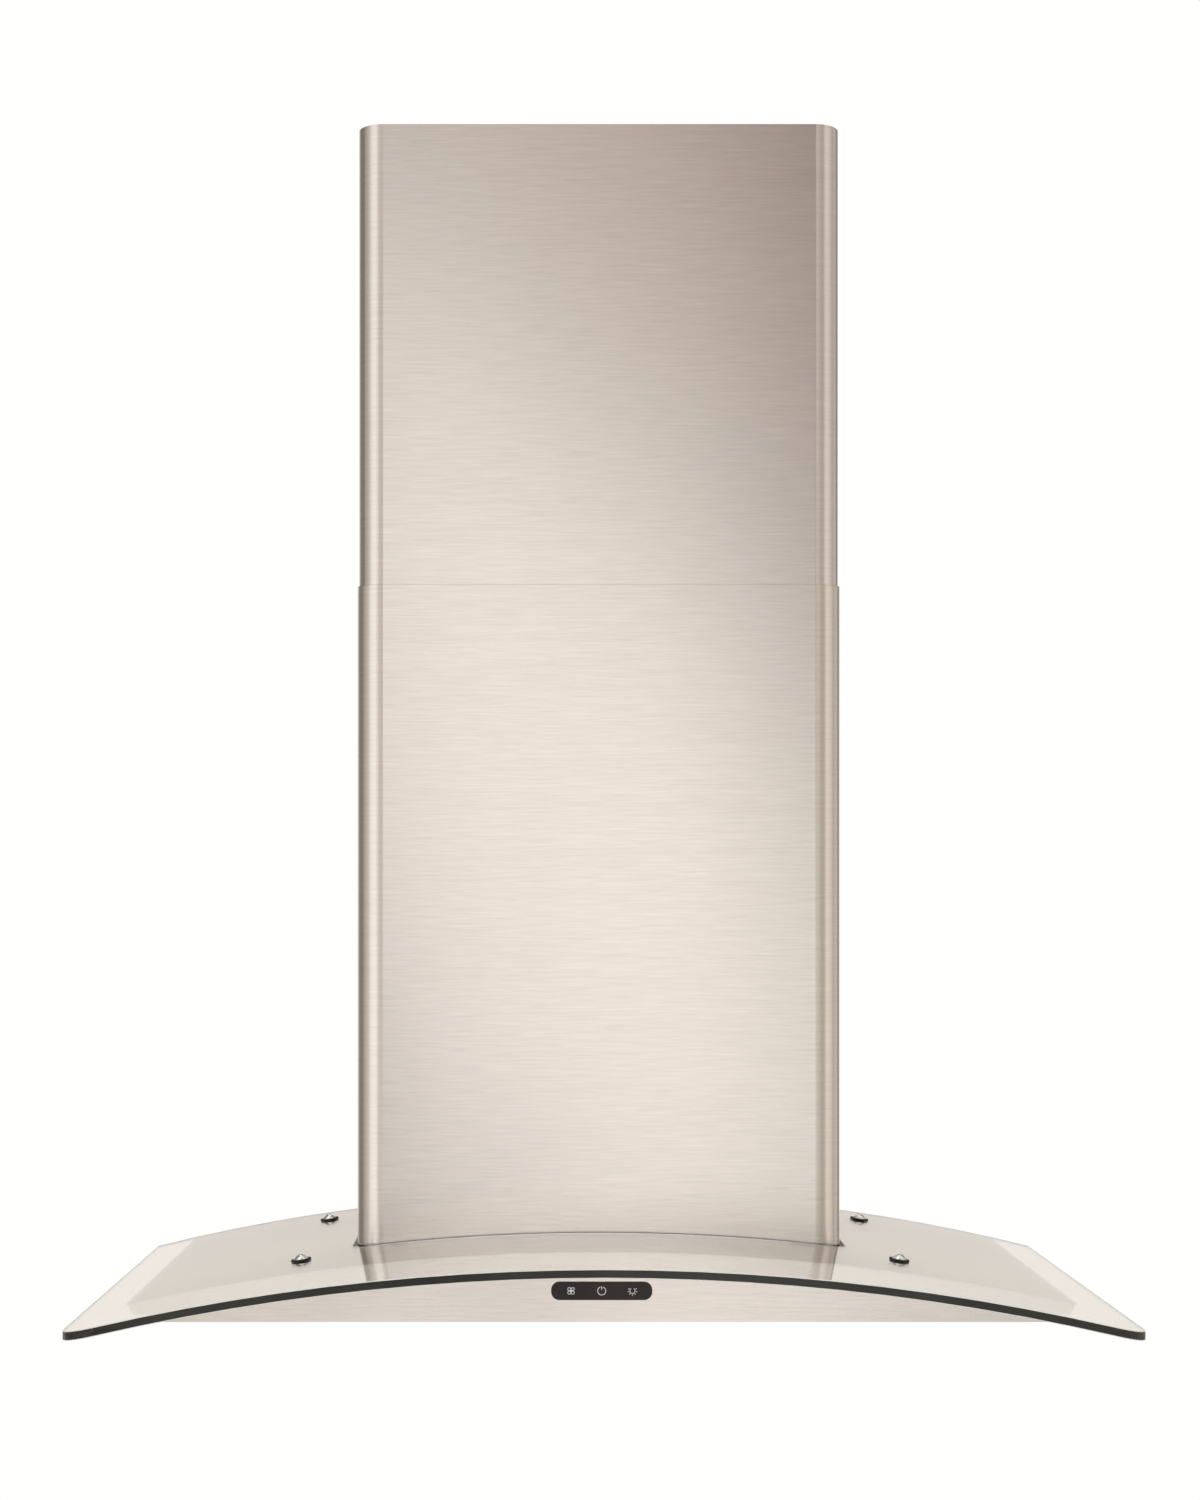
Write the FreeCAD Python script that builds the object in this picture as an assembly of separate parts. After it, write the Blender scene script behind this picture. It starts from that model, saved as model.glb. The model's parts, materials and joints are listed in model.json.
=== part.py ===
import FreeCAD, Part

import math
import os

# Curved glass range hood, wall mounted.  Millimetres, +Z up, front towards -Y, wall plane at Y = 0.
# The origin is the centre of the four wall screw holes of the hanging bracket, on the wall plane.

# ---------------------------------------------------------------- driving dimensions
APEX_Z = -180.0            # top of the glass on its centre line, below the wall screws

GLASS_WIDTH = 900.0
GLASS_FRONT_Y = -500.0
GLASS_BACK_Y = -1.0
GLASS_RADIUS = 1875.0      # top surface, bent about an axis that runs front to back
GLASS_THICK = 7.7
GLASS_CORNER_R = 32.0
GLASS_EDGE_BEVEL = 0.7
NOTCH_GAP = 3.0            # between the chimney and the cut-out of the glass
NOTCH_CORNER_R = 15.0

SCREW_X = 266.7            # the four glass screws
SCREW_FRONT_Y = -330.0
SCREW_REAR_Y = -63.0
PAD_THICK = 1.0            # rubber pad between the glass and the body

SHEET = 1.0                # body and lower flue
BODY_FRONT_Y = -390.7
BODY_DROP = 63.0           # glass apex to the bottom of the body
BODY_HALF_TOP = 408.3      # half width of the front panel at its top corners
BODY_LEAN_DEG = 23.0       # the ends of the body lean inwards towards the bottom
PLATE_LIP = 3.0            # the top plate laps this far past the ends
PLATE_CORNER_R = 6.0
HEM = 12.0                 # return flanges round the underside

FLUE_HALF = 222.0
FLUE_FRONT_Y = -286.2
FLUE_CORNER_R = 25.0
FLUE_FLANGE = 20.0         # rear return flanges, against the wall
LOWER_FLUE_TOP = 590.4     # above the glass apex
UPPER_FLUE_TOP = 1010.0
UPPER_FLUE_LENGTH = 500.0
UPPER_INSET = 1.5          # the upper flue slides inside the lower one
UPPER_SHEET = 0.8

BOX_HALF = 150.0           # motor box, inside the chimney
BOX_BACK_Y = -14.5
BOX_FRONT_Y = -262.0
BOX_TOP = 310.0            # above the glass apex
BOX_SHEET = 1.2

FAN_X = 45.0
FAN_Y = -138.0
FAN_UP = 150.0             # fan axis above the glass apex
WHEEL_R = 75.0
WHEEL_WIDTH = 90.0
VOLUTE_DEPTH = 110.0
VOLUTE_R = 86.0
VOLUTE_STEP = 11.0         # growth of the scroll at each quarter turn
VOLUTE_WALL = 1.6
INLET_R = 58.0
BLADES = 36

COLLAR_R = 75.0            # outside, for a 150 mm duct
COLLAR_LENGTH = 50.0
COLLAR_WALL = 1.6
COLLAR_FLANGE_R = 88.0

LENS_WIDTH = 87.1
LENS_HEIGHT = 15.6
LENS_CORNER_R = 7.0
LENS_UP = 27.0             # centre of the touch strip above the bottom of the body
ICON_PITCH = 26.6
ICON_D = 8.0

FILTER_INNER_X = 14.0      # opening in the bottom panel, right side; the left one mirrors it
FILTER_OUTER_X = 374.0
FILTER_FRONT_Y = -266.0
FILTER_REAR_Y = -22.5
FILTER_GAP = 1.5
FILTER_THICK = 9.0
FILTER_PIVOT_Y = -29.0
FILTER_PIVOT_UP = 5.0
PIVOT_R = 2.0
RUNNING = 0.05             # radial clearance of a pin in its hole

LAMP_X = 300.0
LAMP_Y = -329.0
LAMP_R = 29.0

# ---------------------------------------------------------------- worked-out dimensions
AXIS_Z = APEX_Z - GLASS_RADIUS
PLATE_R = GLASS_RADIUS - GLASS_THICK - PAD_THICK
UNDER_PLATE_R = PLATE_R - SHEET
BOTTOM_Z = APEX_Z - BODY_DROP
CORNER_Z = AXIS_Z + math.sqrt(UNDER_PLATE_R ** 2 - BODY_HALF_TOP ** 2)
LEAN = math.tan(math.radians(BODY_LEAN_DEG))
FAN_Z = APEX_Z + FAN_UP
BOX_TOP_Z = APEX_Z + BOX_TOP
LENS_Z = BOTTOM_Z + LENS_UP
PANEL_Z = BOTTOM_Z + SHEET
LID_TOP_Z = BOX_TOP_Z + BOX_SHEET

X_AXIS = FreeCAD.Vector(1, 0, 0)
Y_AXIS = FreeCAD.Vector(0, 1, 0)
Z_AXIS = FreeCAD.Vector(0, 0, 1)


# ---------------------------------------------------------------- geometry helpers
def point(x, y, z):
    return FreeCAD.Vector(x, y, z)


def box(x0, x1, y0, y1, z0, z1):
    """Block between two corners."""
    return Part.makeBox(x1 - x0, y1 - y0, z1 - z0, point(x0, y0, z0))


def rod(radius, start, direction, length):
    """Solid cylinder that starts at a point and runs along a direction."""
    return Part.makeCylinder(radius, length, start, direction)


def tube(outer, inner, start, direction, length):
    """Hollow cylinder."""
    return rod(outer, start, direction, length).cut(rod(inner, start, direction, length))


def bent(radius):
    """Long cylinder about the bending axis of the glass, used to cut what follows its curve."""
    return rod(radius, point(0, GLASS_FRONT_Y - 100, AXIS_Z), Y_AXIS, 800)


def bent_sheet(outer_radius, thick, plan):
    """The part of a curved sheet that lies inside a plan prism."""
    return plan.common(bent(outer_radius)).cut(bent(outer_radius - thick))


def joined(shapes):
    """One solid from shapes that touch or overlap."""
    whole = shapes[0]
    if len(shapes) > 1:
        whole = shapes[0].multiFuse(shapes[1:])
    return whole.removeSplitter()


def group(shapes):
    """Separate solids kept in one node."""
    return Part.makeCompound(shapes)


def mirrored(shape):
    """The same piece on the other side of the centre line."""
    return shape.mirror(point(0, 0, 0), X_AXIS)


def arc(centre, radius, from_deg, to_deg, place):
    """Arc edge whose plane is chosen by place(u, v)."""
    points = []
    for angle in (from_deg, (from_deg + to_deg) / 2, to_deg):
        turn = math.radians(angle)
        points.append(place(centre[0] + radius * math.cos(turn), centre[1] + radius * math.sin(turn)))
    return Part.Arc(points[0], points[1], points[2]).toShape()


def line(start, end):
    return Part.LineSegment(start, end).toShape()


def rounded_face(half_width, low, high, radius, place):
    """Rectangle about the centre line with four rounded corners."""
    edges = [
        line(place(-half_width + radius, low), place(half_width - radius, low)),
        arc((half_width - radius, low + radius), radius, -90, 0, place),
        line(place(half_width, low + radius), place(half_width, high - radius)),
        arc((half_width - radius, high - radius), radius, 0, 90, place),
        line(place(half_width - radius, high), place(-half_width + radius, high)),
        arc((-half_width + radius, high - radius), radius, 90, 180, place),
        line(place(-half_width, high - radius), place(-half_width, low + radius)),
        arc((-half_width + radius, low + radius), radius, 180, 270, place),
    ]
    return Part.Face(Part.Wire(edges))


def front_rounded_prism(half_width, front_y, back_y, radius, z0, z1):
    """Upright block whose two front corners are rounded in plan."""
    def place(u, v):
        return point(u, v, z0)

    edges = [
        line(place(-half_width + radius, front_y), place(half_width - radius, front_y)),
        arc((half_width - radius, front_y + radius), radius, -90, 0, place),
        line(place(half_width, front_y + radius), place(half_width, back_y)),
        line(place(half_width, back_y), place(-half_width, back_y)),
        line(place(-half_width, back_y), place(-half_width, front_y + radius)),
        arc((-half_width + radius, front_y + radius), radius, 180, 270, place),
    ]
    return Part.Face(Part.Wire(edges)).extrude(point(0, 0, z1 - z0))


def surface_point(x, y, radius):
    """Point on a curved sheet at a place in plan."""
    return point(x, y, AXIS_Z + math.sqrt(radius ** 2 - x ** 2))


def surface_normal(x, radius):
    """Outward direction of a curved sheet."""
    return point(x / radius, 0, math.sqrt(1 - (x / radius) ** 2))


def pan_screw(seat, outward, head_r, head_h, shank_r, shank_l):
    """Plain screw: a low round head on its seat and a shank that runs inwards."""
    head = rod(head_r, seat, outward, head_h)
    shank = rod(shank_r, seat - outward * shank_l, outward, shank_l + head_h / 2)
    recess = rod(head_r * 0.42, seat + outward * (head_h * 0.45), outward, head_h)
    return joined([head, shank]).cut(recess)


# ---------------------------------------------------------------- glass and what holds it
GLASS_SCREWS = [
    (-SCREW_X, SCREW_FRONT_Y),
    (SCREW_X, SCREW_FRONT_Y),
    (-SCREW_X, SCREW_REAR_Y),
    (SCREW_X, SCREW_REAR_Y),
]
GLASS_HOLE_R = 4.0
WASHER_R = 9.0
WASHER_THICK = 1.6
HEAD_R = 6.4
HEAD_H = 4.2
SHANK_R = 2.5
PAD_R = 8.0
BOSS_R = 7.0
BOSS_H = 8.0
CURVE_GAP = 0.05           # a flat ring's rim stands this far off a curved sheet


def glass_canopy():
    """Bent safety glass with rounded front corners, a rear cut-out for the chimney and four holes."""
    plan = front_rounded_prism(
        GLASS_WIDTH / 2, GLASS_FRONT_Y, GLASS_BACK_Y, GLASS_CORNER_R, APEX_Z - 90, APEX_Z + 20
    )
    notch = front_rounded_prism(
        FLUE_HALF + NOTCH_GAP, FLUE_FRONT_Y - NOTCH_GAP, 20, NOTCH_CORNER_R, APEX_Z - 100, APEX_Z + 30
    )
    glass = bent_sheet(GLASS_RADIUS, GLASS_THICK, plan.cut(notch))
    rims = []
    for face in glass.Faces:
        if isinstance(face.Surface, Part.Cylinder) and face.Surface.Radius > 1000:
            rims.extend(face.OuterWire.Edges)
    glass = glass.makeChamfer(GLASS_EDGE_BEVEL, rims)
    for x, y in GLASS_SCREWS:
        normal = surface_normal(x, GLASS_RADIUS)
        start = surface_point(x, y, GLASS_RADIUS) - normal * 20
        glass = glass.cut(rod(GLASS_HOLE_R, start, normal, 40))
    return glass


def glass_screws():
    """Domed screws with a cross recess, down through the glass into threaded plates."""
    screws = []
    sphere_r = (HEAD_R ** 2 + HEAD_H ** 2) / (2 * HEAD_H)
    for x, y in GLASS_SCREWS:
        normal = surface_normal(x, GLASS_RADIUS)
        seat = surface_point(x, y, GLASS_RADIUS) + normal * WASHER_THICK
        dome = Part.makeSphere(sphere_r, seat + normal * (HEAD_H - sphere_r))
        head = dome.common(rod(HEAD_R, seat, normal, HEAD_H + 1))
        shank_l = WASHER_THICK + GLASS_THICK + PAD_THICK + SHEET + 6
        screw = joined([head, rod(SHANK_R, seat - normal * shank_l, normal, shank_l + 1)])
        for half_a, half_b in ((3.1, 0.75), (0.75, 3.1)):
            slot = box(-half_a, half_a, -half_b, half_b, 0, 6)
            slot.rotate(point(0, 0, 0), Z_AXIS, 45)
            slot.rotate(point(0, 0, 0), Y_AXIS, math.degrees(math.asin(x / GLASS_RADIUS)))
            slot.translate(seat + normal * (HEAD_H - 2.4))
            screw = screw.cut(slot)
        screws.append(screw)
    return group(screws)


def sheet_rings(outer_r, inner_r, base_radius, thick):
    """Four flat rings lying on a curved sheet at the glass screws."""
    rings = []
    for x, y in GLASS_SCREWS:
        normal = surface_normal(x, GLASS_RADIUS)
        start = surface_point(x, y, GLASS_RADIUS) + normal * (base_radius - GLASS_RADIUS)
        rings.append(tube(outer_r, inner_r, start, normal, thick))
    return rings


def glass_washers():
    return group(sheet_rings(WASHER_R, SHANK_R, GLASS_RADIUS, WASHER_THICK))


def glass_pads():
    """Flat rubber rings; the thin gap keeps their rims off the curve of the glass."""
    return group(sheet_rings(PAD_R, SHANK_R, PLATE_R, PAD_THICK - CURVE_GAP))


def glass_nuts():
    """Threaded bosses riveted under the top plate."""
    return group(sheet_rings(BOSS_R, SHANK_R, UNDER_PLATE_R - BOSS_H, BOSS_H - CURVE_GAP))


# ---------------------------------------------------------------- body under the glass
PLATE_OPENING_HALF = 130.0
PLATE_OPENING_FRONT_Y = -242.0
PLATE_OPENING_BACK_Y = -34.0


def body_wedge(inset, y0, y1, low_z, top_z):
    """Block with the leaning ends of the body, drawn in at each end by inset."""
    def half(z):
        return BODY_HALF_TOP - (CORNER_Z - z) * LEAN - inset

    corners = [
        point(-half(low_z), y0, low_z),
        point(half(low_z), y0, low_z),
        point(half(top_z), y0, top_z),
        point(-half(top_z), y0, top_z),
    ]
    face = Part.Face(Part.makePolygon(corners + corners[:1]))
    return face.extrude(point(0, y1 - y0, 0))


def body_solid(y0, y1):
    """Full section of the body: leaning ends, flat bottom and the curve of the top plate."""
    return body_wedge(0, y0, y1, BOTTOM_Z, APEX_Z).common(bent(UNDER_PLATE_R))


def top_plate():
    """Curved sheet that the glass lies over, with the air opening into the motor box."""
    half = BODY_HALF_TOP + PLATE_LIP
    plan = front_rounded_prism(half, BODY_FRONT_Y, 0, PLATE_CORNER_R, APEX_Z - 90, APEX_Z + 10)
    opening = box(
        -PLATE_OPENING_HALF,
        PLATE_OPENING_HALF,
        PLATE_OPENING_FRONT_Y,
        PLATE_OPENING_BACK_Y,
        APEX_Z - 100,
        APEX_Z + 20,
    )
    plate = bent_sheet(PLATE_R, SHEET, plan.cut(opening))
    for x, y in GLASS_SCREWS:
        normal = surface_normal(x, GLASS_RADIUS)
        start = surface_point(x, y, GLASS_RADIUS) - normal * 20
        plate = plate.cut(rod(SHANK_R, start, normal, 40))
    return plate


def front_panel():
    """Front sheet with the touch strip opening and a hem turned back along the bottom."""
    sheet = body_solid(BODY_FRONT_Y, BODY_FRONT_Y + SHEET)
    hem = body_wedge(SHEET, BODY_FRONT_Y, BODY_FRONT_Y + HEM, BOTTOM_Z, PANEL_Z)
    return joined([sheet, hem]).cut(lens_prism(0.25, BODY_FRONT_Y - 5, BODY_FRONT_Y + 5))


def body_wrap():
    """Both ends and the back of the body, one folded sheet with a hem round the underside."""
    front = BODY_FRONT_Y + SHEET
    walls = body_solid(front, 0).cut(body_wedge(SHEET, front - 1, -SHEET, BOTTOM_Z - 1, APEX_Z + 10))
    hem = body_wedge(0, BODY_FRONT_Y + HEM, 0, BOTTOM_Z, PANEL_Z)
    hem = hem.cut(body_wedge(HEM, BODY_FRONT_Y, -HEM, BOTTOM_Z - 1, PANEL_Z + 1))
    return with_panel_holes(joined([walls, hem]))


def bottom_panel():
    """Underside sheet with two filter openings and two lamp holes, lying on the hems."""
    gap = SHEET + 0.3
    panel = body_wedge(gap, BODY_FRONT_Y + gap, -gap, PANEL_Z, PANEL_Z + SHEET)
    for side in (-1, 1):
        xs = sorted([side * FILTER_INNER_X, side * FILTER_OUTER_X])
        opening = box(xs[0], xs[1], FILTER_FRONT_Y, FILTER_REAR_Y, PANEL_Z - 5, PANEL_Z + 5)
        panel = panel.cut(opening)
        panel = panel.cut(rod(LAMP_R, point(side * LAMP_X, LAMP_Y, PANEL_Z - 5), Z_AXIS, 10))
    return with_panel_holes(panel)


PANEL_SCREW_PLACES = [(-399, -320), (-399, -60), (399, -320), (399, -60), (-200, -6.5), (200, -6.5)]
PANEL_SCREW_R = 1.5


def panel_screws():
    """Low round-headed screws up through the hem and the bottom panel."""
    screws = []
    for x, y in PANEL_SCREW_PLACES:
        screws.append(pan_screw(point(x, y, BOTTOM_Z), point(0, 0, -1), 3.0, 0.9, PANEL_SCREW_R, 6))
    return group(screws)


def with_panel_holes(sheet):
    for x, y in PANEL_SCREW_PLACES:
        sheet = sheet.cut(rod(PANEL_SCREW_R, point(x, y, PANEL_Z - 5), Z_AXIS, 20))
    return sheet


# ---------------------------------------------------------------- hanging
BRACKET_HALF = 140.0
WALL_HOLE_X = 120.0
WALL_HOLE_Z = 20.0
WALL_HOLE_R = 3.5


def wall_bracket():
    """Rail screwed to the wall: a plate, a shelf and an upstand that the hood hooks over."""
    plate = box(-BRACKET_HALF, BRACKET_HALF, -2, 0, -35, 35)
    shelf = box(-BRACKET_HALF, BRACKET_HALF, -10, 0, 33, 35)
    upstand = box(-BRACKET_HALF, BRACKET_HALF, -10, -8, 33, 57)
    rail = joined([plate, shelf, upstand])
    for x in (-WALL_HOLE_X, WALL_HOLE_X):
        for z in (-WALL_HOLE_Z, WALL_HOLE_Z):
            rail = rail.cut(rod(WALL_HOLE_R, point(x, -20, z), Y_AXIS, 40))
    return rail


def hook_rail():
    """Rail welded to the back of the motor box, turned down behind the upstand of the bracket."""
    half = BRACKET_HALF - 10
    leg = box(-half, half, BOX_BACK_Y, BOX_BACK_Y + 2, 20, 59)
    top = box(-half, half, BOX_BACK_Y, -5, 57, 59)
    down = box(-half, half, -7, -5, 40, 59)
    return joined([leg, top, down])


# ---------------------------------------------------------------- chimney
def flue(half, front_y, back_y, radius, sheet, z0, z1):
    """Folded sheet: front, two sides and narrow return flanges at the back."""
    outer = front_rounded_prism(half, front_y, back_y, radius, z0, z1)
    inner = front_rounded_prism(
        half - sheet, front_y + sheet, back_y - sheet, radius - sheet, z0 - 1, z1 + 1
    )
    rear_opening = box(
        -half + FLUE_FLANGE, half - FLUE_FLANGE, back_y - 2 * sheet, back_y + 1, z0 - 1, z1 + 1
    )
    return outer.cut(inner).cut(rear_opening)


def lower_flue():
    """Lower chimney; its foot passes through the glass cut-out and stands on the top plate."""
    sheet = flue(
        FLUE_HALF, FLUE_FRONT_Y, 0, FLUE_CORNER_R, SHEET, APEX_Z - 40, APEX_Z + LOWER_FLUE_TOP
    )
    return sheet.cut(bent(PLATE_R))


UPPER_HALF = FLUE_HALF - UPPER_INSET
UPPER_FRONT_Y = FLUE_FRONT_Y + UPPER_INSET
UPPER_BACK_Y = -1.8
UPPER_TOP_Z = APEX_Z + UPPER_FLUE_TOP
BRACKET_TOP_Z = UPPER_TOP_Z - 12
BRACKET_LOW_Z = UPPER_TOP_Z - 42
BRACKET_SCREW_Z = UPPER_TOP_Z - 27
BRACKET_SCREW_Y = -20.0


def upper_flue():
    """Upper chimney, which telescopes inside the lower one to reach the ceiling."""
    sheet = flue(
        UPPER_HALF,
        UPPER_FRONT_Y,
        UPPER_BACK_Y,
        FLUE_CORNER_R - UPPER_INSET,
        UPPER_SHEET,
        UPPER_TOP_Z - UPPER_FLUE_LENGTH,
        UPPER_TOP_Z,
    )
    clear = box(
        -UPPER_HALF + UPPER_SHEET,
        UPPER_HALF - UPPER_SHEET,
        UPPER_BACK_Y - 2,
        10,
        BRACKET_LOW_Z - 3,
        BRACKET_TOP_Z + 3,
    )
    hole = rod(2.1, point(-300, BRACKET_SCREW_Y, BRACKET_SCREW_Z), X_AXIS, 600)
    return sheet.cut(clear).cut(hole)


def ceiling_bracket():
    """Strap on the wall under the ceiling with an arm along each side of the upper flue."""
    reach = UPPER_HALF - UPPER_SHEET
    strap = box(-reach, reach, -1.5, 0, BRACKET_LOW_Z, BRACKET_TOP_Z)
    arms = []
    for side in (-1, 1):
        inner = side * (reach - 1.5)
        outer = side * reach
        arms.append(box(min(inner, outer), max(inner, outer), -32, -1, BRACKET_LOW_Z, BRACKET_TOP_Z))
    bracket = joined([strap] + arms)
    bracket = bracket.cut(rod(2.1, point(-300, BRACKET_SCREW_Y, BRACKET_SCREW_Z), X_AXIS, 600))
    for x in (-150, 150):
        bracket = bracket.cut(rod(3.0, point(x, -20, BRACKET_SCREW_Z), Y_AXIS, 40))
    return bracket


def upper_flue_screws():
    screws = []
    for side in (-1, 1):
        seat = point(side * UPPER_HALF, BRACKET_SCREW_Y, BRACKET_SCREW_Z)
        screws.append(pan_screw(seat, point(side, 0, 0), 3.8, 2.0, 2.0, 3))
    return group(screws)


FOOT_SCREW_X = 207.5
FOOT_SCREW_YS = (-190.0, -90.0)
FOOT_SHEET = 1.5
FOOT_WIDTH = 24.0
PLATE_SCREW_R = 2.0


def flue_feet():
    """Angle brackets inside the chimney that hold its sides down on the top plate."""
    feet = []
    reach = FLUE_HALF - SHEET
    for side in (-1, 1):
        sole = sorted([side * (reach - FOOT_WIDTH), side * reach])
        wall = sorted([side * (reach - FOOT_SHEET), side * reach])
        low = box(sole[0], sole[1], -215, -65, APEX_Z - 60, APEX_Z + 10)
        foot = bent_sheet(PLATE_R + FOOT_SHEET, FOOT_SHEET, low)
        upright = box(wall[0], wall[1], -215, -65, APEX_Z - 60, APEX_Z + 12).cut(bent(PLATE_R))
        piece = joined([foot, upright])
        for y in FOOT_SCREW_YS:
            normal = surface_normal(side * FOOT_SCREW_X, PLATE_R)
            start = surface_point(side * FOOT_SCREW_X, y, PLATE_R) - normal * 10
            piece = piece.cut(rod(PLATE_SCREW_R, start, normal, 20))
        feet.append(piece)
    return group(feet)


# ---------------------------------------------------------------- motor box
BOX_FLANGE = 14.0
BOX_SCREW_PLACES = [(-157, -60), (-157, -210), (157, -60), (157, -210), (-80, -269), (80, -269)]


def motor_box():
    """Four-sided sheet box round the blower, with a flange that follows the curve of the plate."""
    walls = box(-BOX_HALF, BOX_HALF, BOX_FRONT_Y, BOX_BACK_Y, APEX_Z - 40, BOX_TOP_Z)
    walls = walls.cut(
        box(
            -BOX_HALF + BOX_SHEET,
            BOX_HALF - BOX_SHEET,
            BOX_FRONT_Y + BOX_SHEET,
            BOX_BACK_Y - BOX_SHEET,
            APEX_Z - 50,
            BOX_TOP_Z + 10,
        )
    )
    walls = walls.cut(bent(PLATE_R))
    outer = box(
        -BOX_HALF - BOX_FLANGE,
        BOX_HALF + BOX_FLANGE,
        BOX_FRONT_Y - BOX_FLANGE,
        BOX_BACK_Y,
        APEX_Z - 60,
        APEX_Z + 10,
    )
    inner = box(
        -BOX_HALF + BOX_SHEET,
        BOX_HALF - BOX_SHEET,
        BOX_FRONT_Y + BOX_SHEET,
        BOX_BACK_Y - BOX_SHEET,
        APEX_Z - 70,
        APEX_Z + 20,
    )
    flange = bent_sheet(PLATE_R + BOX_SHEET, BOX_SHEET, outer.cut(inner))
    whole = joined([walls, flange])
    for x, y in BOX_SCREW_PLACES:
        normal = surface_normal(x, PLATE_R)
        whole = whole.cut(rod(2.0, surface_point(x, y, PLATE_R) - normal * 10, normal, 20))
    return whole


def motor_box_lid():
    """Cover with a turned-down skirt and the round outlet under the duct collar."""
    outer = box(
        -BOX_HALF - BOX_SHEET,
        BOX_HALF + BOX_SHEET,
        BOX_FRONT_Y - BOX_SHEET,
        BOX_BACK_Y + BOX_SHEET,
        BOX_TOP_Z - 12,
        LID_TOP_Z,
    )
    inner = box(-BOX_HALF, BOX_HALF, BOX_FRONT_Y, BOX_BACK_Y, BOX_TOP_Z - 20, BOX_TOP_Z)
    lid = outer.cut(inner)
    return lid.cut(rod(COLLAR_R - COLLAR_WALL, point(0, FAN_Y, BOX_TOP_Z - 20), Z_AXIS, 40))


def plate_screws():
    """Screws through the motor box flange and the chimney feet into rivet nuts of the top plate."""
    places = [(x, y, BOX_SHEET) for x, y in BOX_SCREW_PLACES]
    for y in FOOT_SCREW_YS:
        places.append((-FOOT_SCREW_X, y, FOOT_SHEET))
        places.append((FOOT_SCREW_X, y, FOOT_SHEET))
    screws = []
    for x, y, clamped in places:
        normal = surface_normal(x, PLATE_R)
        seat = surface_point(x, y, PLATE_R) + normal * clamped
        screws.append(pan_screw(seat, normal, 4.0, 2.4, PLATE_SCREW_R, clamped))
    return group(screws)


# ---------------------------------------------------------------- blower
OUTLET_RIGHT_X = 20.0
TONGUE_R = 8.0
VOLUTE_FRONT_Y = FAN_Y - VOLUTE_DEPTH / 2
VOLUTE_REAR_Y = FAN_Y + VOLUTE_DEPTH / 2
MOTOR_R = 42.0
MOTOR_FRONT_Y = -205.0
MOTOR_BACK_Y = -143.0
SHAFT_R = 4.0
ARM_REACH = 68.0


def scroll_face(inset, y, top_z):
    """Outline of the scroll: three growing quarter arcs, the outlet and the tongue between them."""
    def place(u, v):
        return point(u, y, v)

    step = VOLUTE_STEP
    c1 = (FAN_X + step / 2, FAN_Z - step / 2)
    c2 = (c1[0] - step, c1[1])
    c3 = (c2[0], c2[1] + step)
    r1 = VOLUTE_R - inset
    r2 = r1 + step
    r3 = r2 + step
    left = c3[0] - r3
    right = OUTLET_RIGHT_X - inset
    shoulder = c1[1] + r1
    nose = TONGUE_R + inset
    nose_centre = (right + nose, shoulder + nose)
    edges = [
        line(place(left, top_z), place(right, top_z)),
        line(place(right, top_z), place(right, nose_centre[1])),
        arc(nose_centre, nose, 180, 270, place),
        line(place(nose_centre[0], shoulder), place(c1[0], shoulder)),
        arc(c1, r1, 90, 0, place),
        arc(c2, r2, 0, -90, place),
        arc(c3, r3, -90, -180, place),
        line(place(left, c3[1]), place(left, top_z)),
    ]
    return Part.Face(Part.Wire(edges))


def volute_half(outer_y, inward):
    """Half a scroll: one side plate with its inlet, half the wrapper and half the outlet flange."""
    depth = VOLUTE_DEPTH / 2
    outline = scroll_face(0, outer_y, BOX_TOP_Z).extrude(point(0, inward * depth, 0))
    start = outer_y + inward * VOLUTE_WALL
    hollow = scroll_face(VOLUTE_WALL, start, BOX_TOP_Z + 5).extrude(point(0, inward * depth, 0))
    shell = outline.cut(hollow)
    inlet = rod(INLET_R, point(FAN_X, outer_y - inward * 5, FAN_Z), point(0, inward, 0), 12)
    lip = tube(INLET_R + 1.5, INLET_R, point(FAN_X, outer_y, FAN_Z), point(0, inward, 0), 6)
    left = FAN_X - VOLUTE_STEP / 2 - VOLUTE_R - 2 * VOLUTE_STEP
    ys = sorted([outer_y - inward * 9, outer_y + inward * depth])
    flange = box(left - 9, OUTLET_RIGHT_X + 9, ys[0], ys[1], BOX_TOP_Z - 1.5, BOX_TOP_Z)
    mouth = box(
        left + 0.5,
        OUTLET_RIGHT_X - 0.5,
        VOLUTE_FRONT_Y,
        VOLUTE_REAR_Y,
        BOX_TOP_Z - 20,
        BOX_TOP_Z + 5,
    )
    return joined([shell.cut(inlet), lip, flange.cut(mouth)])


def volute_front():
    """Front half, with three holes where the motor bracket is screwed on."""
    half = volute_half(VOLUTE_FRONT_Y, 1)
    for x, z in arm_ends():
        half = half.cut(rod(1.6, point(x, VOLUTE_FRONT_Y - 5, z), Y_AXIS, 10))
    return half


def volute_rear():
    return volute_half(VOLUTE_REAR_Y, -1)


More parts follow.
